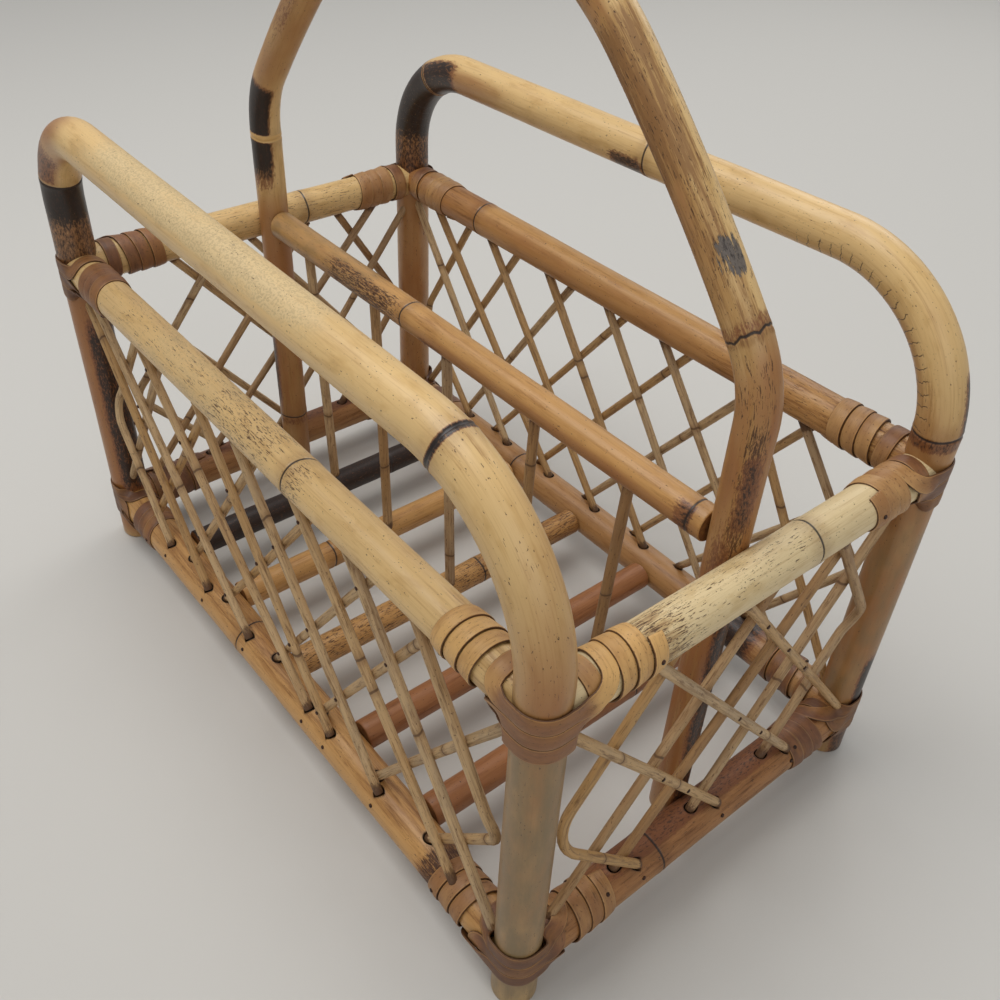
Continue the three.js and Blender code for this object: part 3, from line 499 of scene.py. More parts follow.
def bamboo(name, skin, char, roughness):
    """Bamboo skin: a hard waxy rind, so a satin surface with fine lines along the pole, a dark line at
    each node, weather stains that break up into specks, and near-black where a flame was held. A few scorch
    and stain rows paint shade instead, and near-black paints the shade inside the reed sockets."""
    tree, shader = start_material(name)
    values = read_skin(tree, POLE_MARKS, (
        # Tone that drifts over 55 mm, and over 22 mm
        ("clouds", 0.4, 0.045, 3, 0.5),
        ("drift", 0.35, 0.13, 3, 0.6),
        # Fibre lines 1.3 mm wide and 44 mm long, and finer ones 0.5 mm wide and 18 mm long
        ("fibre", 0.03, 0.75, 4, 0.62),
        ("hair", 0.025, 2.2, 2, 0.6),
        # Brown streaks 4 mm wide and 42 mm long, with ragged edges
        ("streaks", 0.1, 0.24, 6, 0.76),
        # Dark lines in them, 1.3 mm wide and 25 mm long
        ("lines", 0.05, 0.8, 5, 0.7),
        # Dashes 0.7 mm wide and 5 mm long, and specks 0.9 mm wide that gather over 10 mm
        ("dashes", 0.13, 1.5, 3, 0.6),
        ("specks", 0.55, 1.15, 2, 0.5),
        ("sparse", 0.6, 0.1, 2, 0.5),
        # Dots 1.1 mm wide that break up the marks, and the net of a worn skin, with meshes of 1 mm
        ("broken", 0.4, 0.9, 4, 0.7),
        ("net", 0.85, 1.0, 1, 0.5),
    ))
    # Heat cracks run across the inner side of a bend
    grain = add(tree, "Attribute", attribute_name="grain").outputs["Vector"]
    along = add(tree, "SeparateXYZ", {0: grain}).outputs[2]
    bent = add(
        tree, "Math", {0: values["drift"], 1: CRACK_WANDER, 2: along}, operation="MULTIPLY_ADD"
    ).outputs[0]
    values["period"] = add(tree, "Math", {0: bent, 1: CRACK_HALF_STEP}, operation="PINGPONG").outputs[0]
    deep = tinted(skin, 0.62, 0.5, 0.36)
    brown = tinted(skin, 0.3, 0.19, 0.12)
    soot = tinted(char, 2.2, 1.9, 1.7)
    lay_coats(tree, shader, values, skin, masks=(
        ("pale_drift", "clouds", 0.42, 0.62, 0.6),
        ("honey_drift", "drift", 0.5, 0.7, 0.45),
        ("fibre_lines", "fibre", 0.5, 0.74, 0.5),
        ("hair_lines", "hair", 0.54, 0.76, 0.28),
        ("aged_share", "clouds", 0.5, 1.45, 1.0, "aged", 1.0),
        ("weathered_share", "drift", 0.5, 1.4, 1.0, "weathered", 1.0),
        ("stain_haze", "streaks", 0.64, 0.86, 0.75, "stain", 0.34),
        ("stain_streaks", "lines", 0.66, 0.8, 0.9, "stain", 0.26),
        ("dash_marks", "dashes", 0.715, 0.755, 0.9, "scratch", 0.17),
        ("speck_marks", "specks", 0.75, 0.78, 0.85, "sparse", 0.12),
        ("spatter", "broken", 0.76, 0.82, 0.8, "scratch", 0.2),
        ("worn_gate", "drift", 0.85, 1.6, 0.6, "worn", 1.0),
        ("worn_net", "net", 0.47, 0.6, 0.7),
        ("bare_place", "streaks", 0.9, 0.93, 0.92, "bare", 0.5),
        # Scorch is mostly real, but a few rows on the hoops and the lower end rails paint shade with it
        ("toasted", "scorch", 0.94, 1.2, 0.82, "broken", 1.2),
        ("burnt", "scorch", 1.2, 1.5, 0.97, "broken", 1.2),
        ("lip_share", "lip", 0.2, 0.8, 1.0),
        ("embers", "broken", 0.48, 0.7, 0.5),
        ("pitted", "broken", 0.5, 0.62, 0.9),
        ("node_shoulder", "node_distance", 11.0, 0.8, 0.6),
        ("node_line", "node_distance", 0.95, 0.3, 0.92),
        ("socket_shade", "socket", 0.15, 0.85, 0.95),
        ("crack_line", "period", 0.42, 0.06, 0.85),
        ("crack_gate", "broken", 0.68, 0.95, 1.0, "crack", 0.8),
    ), products=(
        ("stained", "stain_haze", "stain_streaks"),
        ("worn_dots", "worn_gate", "worn_net"),
        ("cracks", "crack_line", "crack_gate"),
        ("shoulder", "node_shoulder", "broken"),
        ("thin_burn", "burnt", "embers"),
        ("bare_pits", "bare_place", "pitted"),
    ), coats=(
        (tinted(skin, 1.12, 1.13, 1.12), "pale_drift"),
        (tinted(skin, 0.86, 0.74, 0.52), "honey_drift"),
        (deep, "fibre_lines"),
        (deep, "hair_lines"),
        (linear("#9C6636"), "aged_share"),
        (linear("#7F6A48"), "weathered_share"),
        (deep, "stain_haze"),
        (brown, "stained"),
        (linear("#D0BC92"), "worn_gate"),
        (linear("#9C8560"), "worn_dots"),
        (brown, "shoulder"),
        (tinted(brown, 0.45, 0.4, 0.4), "spatter"),
        (tinted(brown, 0.4, 0.35, 0.35), "dash_marks"),
        (tinted(brown, 0.3, 0.3, 0.3), "speck_marks"),
        (linear("#5F5A57"), "bare_place"),
        (linear("#332A26"), "bare_pits"),
        (linear("#7C4A2A"), "toasted"),
        (char, "burnt"),
        (linear("#4E2E1B"), "thin_burn"),
        (soot, "cracks"),
        (tinted(char, 1.3, 1.1, 1.0), "node_line"),
        (tinted(skin, 0.95, 0.88, 0.75), "lip_share"),
        (tinted(char, 0.6, 0.55, 0.5), "socket_shade"),
    ))
    dull = add(tree, "Math", {0: values["stained"], 1: values["worn_gate"]}, operation="MAXIMUM")
    rough = add(tree, "MapRange", {"Value": dull.outputs[0], "To Min": roughness, "To Max": DRY_ROUGHNESS})
    tree.links.new(rough.outputs[0], shader.inputs["Roughness"])
    shader.inputs["IOR"].default_value = 1.5
    raise_grain(tree, shader, values, (
        ("fibre", 0.3), ("dash_marks", -0.45), ("speck_marks", -0.4), ("stained", -0.15), ("spatter", -0.3),
        ("cracks", -0.9), ("worn_dots", -0.2), ("bare_place", -0.5), ("bare_pits", -0.3),
    ), strength=0.6, depth=0.45 * MM)


def cut_end(name, skin):
    """Sawn bamboo end: dry open fibre, so matt, a little darker than the skin, with vessel pores."""
    tree, shader = start_material(name)
    wood = tinted(skin, 0.6, 0.48, 0.36)
    # Cloudy parts 5 mm wide and pores 0.7 mm wide
    values = read_skin(tree, (), (
        ("clouds", 1.0, 0.2, 3, 0.6),
        ("pores", 1.0, 1.4, 2, 0.6),
    ))
    lay_coats(tree, shader, values, wood, masks=(
        ("dark_parts", "clouds", 0.35, 0.7, 1.0),
        ("pore_dots", "pores", 0.58, 0.66, 0.7),
    ), coats=(
        (tinted(wood, 0.5, 0.45, 0.4), "dark_parts"),
        (tinted(wood, 0.15, 0.12, 0.1), "pore_dots"),
    ))
    shader.inputs["Roughness"].default_value = 0.8


def reed_skin(name, skin):
    """Thin peeled reed: raw fibre, so dull, grey-beige, with fine lines, brown joints and soiled ends."""
    tree, shader = start_material(name)
    pale = tinted(skin, 1.1, 1.1, 1.08)
    deep = tinted(skin, 0.52, 0.42, 0.32)
    dark = tinted(skin, 0.2, 0.13, 0.09)
    # Tone that drifts over 45 mm and 35 mm, fibre lines 1 mm wide and 28 mm long, streaks 1.7 mm wide
    # and 14 mm long, and specks 1 mm wide
    values = read_skin(tree, ("node_distance", "stain", "tone", "aged"), (
        ("clouds", 0.3, 0.07, 3, 0.6),
        ("weather", 0.25, 0.12, 4, 0.7),
        ("fibre", 0.04, 0.9, 4, 0.65),
        ("streaks", 0.12, 0.6, 4, 0.7),
        ("specks", 0.5, 0.9, 3, 0.65),
    ))
    lay_coats(tree, shader, values, pale, masks=(
        ("honey_share", "tone", 0.75, 1.45, 0.7, "clouds", 1.0),
        ("grey_share", "weather", 0.38, 0.6, 0.6, "tone", -0.3),
        ("aged_share", "aged", 0.5, 1.5, 1.0, "clouds", 0.8),
        ("fibre_lines", "fibre", 0.47, 0.68, 0.72),
        ("brown_streaks", "streaks", 0.505, 0.69, 0.85, "stain", 0.35),
        ("dark_specks", "specks", 0.625, 0.69, 0.85, "stain", 0.25),
        ("joint_haze", "node_distance", 5.0, 0.5, 0.6),
        ("joint_line", "node_distance", 1.0, 0.35, 0.85),
        ("soiled", "stain", 0.65, 1.3, 0.85, "specks", 0.6),
    ), coats=(
        (linear("#B38648"), "honey_share"),
        (linear("#A79072"), "grey_share"),
        (linear("#8C6640"), "aged_share"),
        (deep, "fibre_lines"),
        (tinted(skin, 0.36, 0.26, 0.17), "brown_streaks"),
        (dark, "dark_specks"),
        (deep, "joint_haze"),
        (dark, "soiled"),
        (dark, "joint_line"),
    ))
    shader.inputs["Roughness"].default_value = 0.56
    raise_grain(
        tree, shader, values, (("fibre", 0.6), ("dark_specks", -0.4)), strength=0.5, depth=0.3 * MM
    )


def cane_skin(name, skin, aged):
    """Split cane: the vine's smooth bark, a satin skin with dark specks and scratches, and edges that
    are raised, with a painted highlight on top and painted shade in the gap to the next turn."""
    tree, shader = start_material(name)
    dark = tinted(skin, 0.13, 0.08, 0.055)
    # Tone that drifts over 35 mm, fibre lines 1.2 mm wide and 20 mm long, specks 0.9 mm wide, and scars
    # 3 mm wide and 11 mm long
    values = read_skin(tree, ("rim", "age"), (
        ("clouds", 0.4, 0.07, 3, 0.6),
        ("fibre", 0.06, 0.8, 4, 0.65),
        ("specks", 0.5, 1.1, 3, 0.65),
        ("scars", 0.25, 0.35, 5, 0.75),
    ))
    lay_coats(tree, shader, values, skin, masks=(
        ("aged_share", "age", 0.45, 1.4, 1.0, "clouds", 0.9),
        ("dark_share", "age", 1.2, 2.1, 0.9, "scars", 1.4),
        ("cloud_share", "clouds", 0.45, 0.7, 0.5),
        ("fibre_lines", "fibre", 0.5, 0.74, 0.5),
        ("speck_marks", "specks", 0.61, 0.66, 0.7),
        ("scar_marks", "scars", 0.6, 0.7, 0.6),
        # Painted highlight along the top of each edge, and painted shade at the very edge, in the gap to the
        # next turn
        ("painted_edge_highlight", "rim", 0.86, 0.95, 0.2, "fibre", 0.15),
        ("painted_gap_shade", "rim", 0.965, 1.02, 0.92, "specks", 0.1),
    ), coats=(
        (aged, "aged_share"),
        (tinted(aged, 0.42, 0.4, 0.42), "dark_share"),
        (tinted(skin, 0.55, 0.42, 0.28), "cloud_share"),
        (tinted(skin, 0.42, 0.3, 0.2), "fibre_lines"),
        (dark, "speck_marks"),
        (dark, "scar_marks"),
        # Colours of the painted edge highlight and the painted gap shade
        (tinted(skin, 1.1, 1.05, 0.95), "painted_edge_highlight"),
        (dark, "painted_gap_shade"),
    ))
    rough = add(tree, "MapRange", {"Value": values["clouds"], "To Min": 0.38, "To Max": 0.6})
    tree.links.new(rough.outputs[0], shader.inputs["Roughness"])
    raise_grain(tree, shader, values, (
        ("fibre", 0.5), ("speck_marks", -0.4), ("scar_marks", -0.3),
    ), strength=0.5, depth=0.3 * MM)


def rusted_steel(name):
    """Small steel pin heads gone dark with rust: dull, brown-black and a little metallic."""
    tree, shader = start_material(name)
    # Rust spots 0.8 mm wide
    values = read_skin(tree, (), (("rust", 1.0, 1.2, 3, 0.6),))
    lay_coats(tree, shader, values, linear("#2A211C"), masks=(
        ("rust_share", "rust", 0.4, 0.65, 1.0),
    ), coats=(
        (linear("#5A3522"), "rust_share"),
    ))
    shader.inputs["Metallic"].default_value = 0.5
    shader.inputs["Roughness"].default_value = 0.55


def matt_floor(name, colour):
    """Painted floor: matt and plain."""
    _, shader = start_material(name)
    shader.inputs["Base Color"].default_value = rgba(colour)
    shader.inputs["Roughness"].default_value = 0.9


# Bamboo finishes: material, its colour in the sidebar, and roughness
BAMBOOS = (
    ("scorched_bamboo_pale", "pale", 0.36),
    ("scorched_bamboo_honey", "honey", 0.38),
    ("scorched_bamboo_brown", "brown", 0.42),
    ("scorched_bamboo_red", "red", 0.42),
    ("sun_bleached_bamboo", "bleached", 0.42),
)

# Cane gone brown with age
OLD_CANE = "#865737"


def make_materials():
    """Make the materials of all pieces."""
    colours = bpy.context.scene.basket_colours
    for name, colour, roughness in BAMBOOS:
        bamboo(name, list(getattr(colours, colour)), list(colours.char), roughness)
    cut_end("cut_bamboo_end", list(colours.honey))
    reed_skin("peeled_reed", list(colours.reed))
    cane_skin("split_cane", list(colours.cane), linear(OLD_CANE))
    rusted_steel("rusted_pin_steel")
    matt_floor("plain_matt_floor", list(colours.floor))


# Marks of the poles: start, end and soft length in mm, strength, facing direction, how far round
FAR_LEFT = (-0.63, -0.77, 0)
LEFT_HOOP_MARKS = {
    "scorch": (
        (245, 281, (44, 2), 1.05), (215, 266, 20, 0.72),
        (283, 316, (4, 26), 0.68, (-0.6, -1, 0.1), 0.1), (682.4, 686.2, 1.5, 0.9),
        # This scorch row is painted shade, near-black on the inner side of the far leg
        (40, 190, 30, 0.85, (1, 0.3, 0), 0.45),
    ),
    "aged": (
        (0, 226, 40, 0.95), (740, 1030, 130, 0.6), (281, 340, 24, 0.7, (-0.6, -1, 0), 0),
    ),
    "weathered": ((800, 1030, 60, 0.6),),
    "worn": ((372, 606, 60, 0.95, (0, 0.15, 1), 0.12),),
    "stain": (
        (0, 215, 60, 0.3), (684, 700, 8, 0.5, (0, 0.4, 1), 0),
        (900, 1030, 50, 0.25),
    ),
    "scratch": ((700, 810, 60, 0.25), (20, 190, 50, 0.45)),
    "bare": ((520, 526, 5, 0.85, (0.1, -0.2, 1), 0.85),),
}
RIGHT_HOOP_MARKS = {
    "scorch": (
        (248, 314, (36, 2), 0.98), (222, 270, 16, 0.76),
        (316, 350, (3, 16), 0.9, (0, -1, -0.6), 0.1), (498, 528, 14, 0.85, (0, -0.5, -1), 0.45),
        (745, 778, 10, 1.0, (1, 0.8, 0), 0.72), (774, 782, 3, 0.66, (0, -1, 0), -0.4),
        # These two scorch rows at the near foot are painted shade, near-black on the side of the foot
        (980, 1030, 24, 0.8, (1, 0.5, 0), 0.3), (930, 1000, 24, 1.1, (0.9, 0.5, 0), 0.55),
    ),
    "aged": (
        (0, 240, 40, 0.7), (316, 400, 50, 0.6, (0, -1, -1), 0.2), (760, 1030, 90, 0.75),
        (650, 780, 60, 0.5, (-1, -0.2, -0.5), 0.4),
    ),
    "weathered": ((820, 1030, 60, 0.4),),
    "crack": ((640, 772, 50, 1.02, (-1, -0.4, -0.75), 0.36), (232, 300, 20, 0.35)),
    "scratch": ((620, 770, 60, 0.35, (-1, -1, 0), 0.3), (20, 190, 50, 0.45)),
    "stain": ((0, 215, 60, 0.3), (740, 780, 20, 0.6, (-1, -1, 0), 0.3)),
}
HANDLE_MARKS = {
    "scorch": (
        (232, 260.5, (44, 2), 1.1, FAR_LEFT, -0.5), (265, 303, (2, 14), 1.1, FAR_LEFT, -0.45),
        (36, 46, 10, 0.5), (842, 888, 16, 0.95, (0.78, -0.62, 0), 0.9),
        (880, 950, 40, 0.55, (0.3, -1, 0), 0.75),
        (786, 795, 6, 0.48), (930, 1110, 50, 0.85, (0.95, 0.3, 0), 0.5),
        (50, 120, 30, 0.8, FAR_LEFT, 0.55), (340, 400, 50, 0.45, FAR_LEFT, 0.3),
    ),
    "lip": ((260.8, 264.6, 1, 1),),
    "aged": (
        (-20, 225, 40, 0.75), (300, 480, 60, 0.6), (795, 900, 30, 0.7),
        (880, 1110, 120, 1.0), (540, 795, 90, 0.65, (-0.7, -0.6, -0.4), 0.1),
        (810, 960, 50, 1.0, (0.63, 0.77, 0), 0.2),
    ),
    "stain": (
        (560, 660, 40, 0.7, (-0.4, -1, 0.25), -0.1), (655, 735, 24, 1.15, (-0.4, -1, 0.25), -0.1),
        (720, 792, (24, 10), 0.85, (-0.4, -1, 0.25), -0.1), (786, 797, 5, 0.9),
        (800, 1110, 60, 0.55), (310, 460, 60, 0.6, FAR_LEFT, 0),
        (-20, 120, 50, 0.6),
    ),
    "scratch": (
        (600, 790, 50, 0.6), (798, 830, 14, 0.75, (0.4, -1, 0), 0.4),
        (826, 900, 20, 1.5, (0.75, -0.66, 0), 0.85), (900, 1110, 50, 0.25),
    ),
    "bare": ((751, 773, 12, 0.95, (0.8, -0.4, 0.5), 0.78),),
}
LEFT_RIM_MARKS = {
    "worn": ((110, 225, 50, 0.6, (0, -0.4, 1), 0.1),),
    "scratch": (
        (70, 262, 50, 0.6, (0, -0.5, 1), 0.0), (190, 262, 20, 0.85),
        (272, 290, 10, 1.0, (0, -1, 0.6), 0.4),
    ),
    "stain": (
        (40, 268, 40, 0.2), (300, 380, 60, 0.4, (0, -1, 0), 0.2),
        (385, 451, 20, 0.6),
    ),
}
RIGHT_RIM_MARKS = {
    "aged": ((-20, 95, 20, 0.65), (80, 370, 60, 0.5, (0, -1, -0.6), 0.2)),
    "bare": ((383, 392, 4, 0.8, (-0.1, -0.4, 1), 0.85),),
    "stain": (
        (-20, 100, 20, 0.7), (90, 300, 60, 0.45, (0, -1, 0), 0.1),
        (300, 460, 50, 0.75),
    ),
    "scratch": ((330, 460, 40, 0.6),),
}
NEAR_RIM_MARKS = {
    "scratch": ((35, 82, 30, 0.95, (0.6, 0, 0.6), 0.1), (50, 165, 50, 0.6, (-0.2, 0, 1), 0.2)),
    "stain": ((30, 70, 20, 0.8, (0.6, 0, 0.6), 0.1),),
    "bare": ((150, 158, 4, 0.7, (1, 0, -0.4), 0.82),),
}
FAR_RIM_MARKS = {
    "stain": ((0, 270, 60, 0.6, (0, 0, -1), 0),),
    "scratch": ((30, 240, 40, 0.6),),
}
LEFT_LOWER_MARKS = {
    "stain": ((-20, 451, 60, 0.75, (0, 0.5, 1), 0.1), (380, 420, 14, 1.0)),
    "scratch": ((383, 416, 10, 1.5), (60, 200, 50, 0.35)),
}
RIGHT_LOWER_MARKS = {
    "scorch": ((358, 392, 20, 0.9),),
    "stain": ((-20, 460, 60, 0.5),),
}
# Near and far lower rails: the scorch, stain and age rows that face up are partly painted shade, darkening
# the rail's upper side, and partly the rails' real brown; the scratches are real marks
END_LOWER_MARKS_AND_SHADE = {
    "scorch": ((70, 250, 60, 0.66, (-0.75, 0, 1), 0.4), (40, 130, 50, 0.62, (-0.75, 0, 1), 0.35)),
    "aged": ((-20, 280, 40, 0.5, (0.3, 0, 1), 0.1),),
    "stain": ((-20, 280, 40, 0.7, (0.2, 0, 1), -0.1), (60, 250, 50, 1.3, (-0.75, 0, 1), 0.4)),
    "scratch": ((60, 240, 50, 0.4),),
}
DIVIDER_MARKS = {
    "stain": (
        (50, 150, 30, 0.6, (0, -1, 0.1), 0.2), (152, 300, 60, 0.5, (0, -1, 0.4), 0.0),
        (330, 420, 40, 0.4),
    ),
    "scratch": ((70, 150, 24, 1.3, (0.3, -1, -0.1), 0.25), (-20, 160, 20, 0.35)),
    "weathered": ((-20, 120, 30, 0.35),),
    "scorch": ((372, 384, (14, 2), 0.72, (0.3, -1, -0.4), 0.0), (166, 196, 14, 0.6, (0, -0.6, -1), 0.6)),
    "aged": ((150, 400, 80, 0.6, (0, -0.5, -1), 0.1),),
}

# Poles: node, material, slot, seed, places of the node rings as shares of the length, and marks
HOOPS = (
    ("left_hoop", -HALF_WIDTH, LEFT_HOOP, 11, (0.275, 0.669), LEFT_HOOP_MARKS),
    ("right_hoop", HALF_WIDTH, RIGHT_HOOP, 12, (0.309, 0.517, 0.761), RIGHT_HOOP_MARKS),
)
HANDLE_RINGS = (0.041, 0.238, 0.48, 0.721)
HANDLE_JAGGED = (0.721,)
HANDLE_SEED = 21
RAILS = (
    ("left_rim_rail", "scorched_bamboo_pale", "honey_pole", 31, (0.604,), LEFT_RIM_MARKS),
    ("right_rim_rail", "scorched_bamboo_honey", "honey_pole", 32, (0.203,), RIGHT_RIM_MARKS),
    ("left_lower_rail", "scorched_bamboo_honey", "brown_pole", 33, (0.405,), LEFT_LOWER_MARKS),
    ("right_lower_rail", "scorched_bamboo_brown", "brown_pole", 34, (0.323,), RIGHT_LOWER_MARKS),
    ("near_rim_rail", "sun_bleached_bamboo", "bleached_pole", 35, (0.62,), NEAR_RIM_MARKS),
    ("far_rim_rail", "scorched_bamboo_pale", "pale_pole", 36, (0.62,), FAR_RIM_MARKS),
    ("near_lower_rail", "scorched_bamboo_brown", "brown_pole", 37, (0.36,), END_LOWER_MARKS_AND_SHADE),
    ("far_lower_rail", "scorched_bamboo_brown", "brown_pole", 38, (0.36,), END_LOWER_MARKS_AND_SHADE),
)
DIVIDER_RINGS = (0.39, 0.978)
DIVIDER_SEED = 41
FLOOR_POLES = (
    ("scorched_bamboo_red", "charred_pole", 60, (0.7,), {"scorch": ((-20, 196, 24, 0.95),)}),
    ("scorched_bamboo_honey", "honey_pole", 61, (0.3,), {"stain": ((-20, 250, 40, 0.45),)}),
    ("scorched_bamboo_honey", "pale_pole", 62, (0.62,), {
        "stain": ((150, 250, 30, 0.8),), "scratch": ((-20, 250, 30, 0.9),),
    }),
    ("scorched_bamboo_red", "red_pole", 63, (0.35,), {"stain": ((-20, 250, 40, 0.5),)}),
    ("scorched_bamboo_red", "red_pole", 64, (0.66,), {"stain": ((-20, 250, 40, 0.4),)}),
)

# Divider sticks: places of foot and top along the basket in mm, and seed
STICKS = (
    (-148.2, -161.9, 50), (-77.1, -84.1, 51), (-2.0, -9.0, 52), (66.3, 70.8, 53), (132.6, 142.7, 54),
)


class BASKET_OT_hoops(bpy.types.Operator):
    """Build the two bent hoops whose legs are the corner posts"""

    bl_idname = "basket.hoops"
    bl_label = "Side hoops"

    def execute(self, context):
        thickness = context.scene.basket_sizes.hoop_thickness
        for node, y, bends, seed, rings, marks in HOOPS:
            route = hoop_route(y, **bends)
            pole(node, route, thickness, ALONG_Y, "scorched_bamboo_pale", seed, rings, marks)
        return {"FINISHED"}


class BASKET_OT_handle(bpy.types.Operator):
    """Build the bent carrying handle"""

    bl_idname = "basket.handle"
    bl_label = "Handle"

    def execute(self, context):
        thickness = context.scene.basket_sizes.handle_thickness
        pole(
            "handle_arch", handle_route(), thickness, ALONG_Y, "scorched_bamboo_pale",
            HANDLE_SEED, HANDLE_RINGS, HANDLE_MARKS, HANDLE_JAGGED,
        )
        return {"FINISHED"}


class BASKET_OT_rails(bpy.types.Operator):
    """Build the rim rails and lower rails between the posts, with sockets for the reeds"""

    bl_idname = "basket.rails"
    bl_label = "Rails"

    def execute(self, context):
        sizes = context.scene.basket_sizes
        levels = {"rim": (RIM_HEIGHT, sizes.rim_thickness), "lower": (LOWER_HEIGHT, sizes.lower_thickness)}
        for node, material, slot, seed, rings, marks in RAILS:
            side, level, _ = node.split("_")
            panel = PANELS[side]
            height, thickness = levels[level]
            centre = panel.out * panel.reach + UP * height
            route = straight(centre - panel.along * panel.half, centre + panel.along * panel.half)
            rail = pole(node, route, thickness, abs(panel.out), material, seed, rings, marks)
            drill(rail, reed_ends(panel, level == "lower"), route, thickness)
        return {"FINISHED"}


class BASKET_OT_divider(bpy.types.Operator):
    """Build the rail between the handle's legs and the sticks under it"""

    bl_idname = "basket.divider"
    bl_label = "Divider"

    def execute(self, context):
        sizes = context.scene.basket_sizes
        low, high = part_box("divider_rail")
        route = straight((low.x, 0, DIVIDER_HEIGHT), (high.x, 0, DIVIDER_HEIGHT))
        pole(
            "divider_rail", route, sizes.divider_thickness, ALONG_Y, "scorched_bamboo_honey",
            DIVIDER_SEED, DIVIDER_RINGS, DIVIDER_MARKS,
        )
        for number, (foot, top, seed) in enumerate(STICKS, 1):
            node = f"divider_stick_{number}"
            low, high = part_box(node)
            line = [(foot * MM, 0, low.z), (top * MM, 0, high.z)]
            mesh = reed_mesh(node + "_skin", line, sizes.stick_thickness, ALONG_Y, seed, STICK_AGE)
            place(mesh, ["peeled_reed"], node)
        return {"FINISHED"}


class BASKET_OT_floor_poles(bpy.types.Operator):
    """Build the poles across the bottom"""

    bl_idname = "basket.floor_poles"
    bl_label = "Floor poles"

    def execute(self, context):
        thickness = context.scene.basket_sizes.slat_thickness
        for number, (material, slot, seed, rings, marks) in enumerate(FLOOR_POLES, 1):
            node = f"floor_pole_{number}"
            low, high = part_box(node)
            x = middle(node).x
            route = straight((x, low.y, LOWER_HEIGHT), (x, high.y, LOWER_HEIGHT))
            pole(node, route, thickness, ALONG_X, material, seed, rings, marks)
        return {"FINISHED"}


# Reeds: how they stand in the panels
REED_SINK = 3 * MM
REED_BEND_REACH = 14 * MM
REED_BEND_POINTS = 12
REED_FOOT_SHIFT = 3 * MM
TURNED_CLEAR = 3.3 * MM
NAILED_OFFSET = 2.6 * MM
FREE_OFFSET = 3.1 * MM
BOUND_LENGTH = 59.85 * MM

# Unevenness of reeds: sway, share of the size, joints and their places, soiled ends in mm, and age
REED_SWAY = 0.5 * MM
REED_SIZES = (0.93, 1.0)
REED_JOINTS = (1, 3)
JOINT_PLACES = (0.15, 0.85)
LEAST_REED_STOPS = 8
SOILED_TOP = (4, 9)
SOILED_FOOT = (5, 9)
SOIL_SOFT = 5
REED_AGES = (0.6, 1.4)
STICK_AGE = 0.5
LONG_REED_AGE = 0.25
INNER_REED_AGE = 0.85

# Sockets of the reeds in the rails
SOCKET_WIDTH = 7.2 * MM
SOCKET_CLEAR = 10 * MM
SOCKET_BEYOND = 1.2 * MM
SOCKET_SIDES = 20
# Strength of the painted shade, with some soil, round a socket's rim; its inside gets full painted shade
SOCKET_RIM_SHADE_AND_SOIL = 0.5
SHARP_ANGLE = math.radians(40)
NEW_VERTEX_GAP = 1e-6
SKIN_SHARE = 0.93

# Pins: rings of a head as radius and height, both as shares of half its width
PIN_PROFILE = ((1.0, -0.6), (1.0, 0.12), (0.84, 0.36), (0.5, 0.5))
PIN_SIDES = 12

# Places of pins: the share of crossings that have one, how deep they sit and where
PIN_SEED = 700
PINNED_SHARE = 0.55
CROSSING_MARGIN = 0.06
PIN_RISE = math.radians(20)
PIN_ON_REED = 0.46
PIN_ON_RAIL = 0.495
STRIP_PIN_POINT = 9

# Reeds of a panel: top and foot as shares of the open half length, and over 1 where strips are wound
RIGHT_REEDS = {
    "inner": ((-1.875, -0.599), (-1.36, -0.293), (-0.75, 0.019), (-0.374, 0.327), (-0.022, 0.681),
              (0.279, 1.119), (0.704, 1.839)),
    "outer": ((-0.6, -1.725), (-0.253, -0.939), (0.056, -0.719), (0.4, -0.388), (0.704, -0.059),
              (0.957, 0.252), (1.924, 0.517)),
}
LEFT_REEDS = {
    "outer": ((-1.963, -0.553), (-1.683, -0.22), (-0.84, 0.216), (-0.4, 0.363), (-0.133, 0.665),
              (0.234, 1.214), (0.536, 1.785)),
    "inner": ((-0.708, -1.963), (-0.346, -1.208), (0.003, -0.732), (0.353, -0.44), (0.686, -0.044),
              (0.957, 0.272), (1.905, 0.625)),
}
END_REEDS = {
    "outer": ((-1.923, 0.124), (-0.981, 0.994), (-0.139, 1.844)),
    "inner": ((1.333, -0.9), (1.95, -0.059), (0.461, -1.658)),
}
RIGHT_TURNED = ((0.933, 0.877, 0.56, 1, "inner"), (-0.934, -0.893, 0.44, -1, "outer"))
LEFT_TURNED = ((0.867, 0.926, 0.41, 1, "outer"), (-0.898, -0.885, 0.5, -1, "inner"))
END_TURNED = ((0.886, 0.796, 0.5, 1, "outer"), (-0.518, -0.769, 0.42, -1, "inner"))

# Panels: directions along and out, half length, distance out, offset of the two layers, first seed,
# straight reeds, and turned ones with top, foot, height of the bend, side of the bend and upper layer
Panel = namedtuple("Panel", "along out half reach offset seed reeds turned")
PANELS = {
    "left": Panel(
        ALONG_X, -ALONG_Y, HALF_LENGTH, HALF_WIDTH, NAILED_OFFSET, 100, LEFT_REEDS, LEFT_TURNED
    ),
    "right": Panel(
        ALONG_X, ALONG_Y, HALF_LENGTH, HALF_WIDTH, NAILED_OFFSET, 200, RIGHT_REEDS, RIGHT_TURNED
    ),
    "near": Panel(ALONG_Y, ALONG_X, HALF_WIDTH, HALF_LENGTH, FREE_OFFSET, 300, END_REEDS, END_TURNED),
    "far": Panel(ALONG_Y, -ALONG_X, HALF_WIDTH, HALF_LENGTH, FREE_OFFSET, 400, END_REEDS, END_TURNED),
}


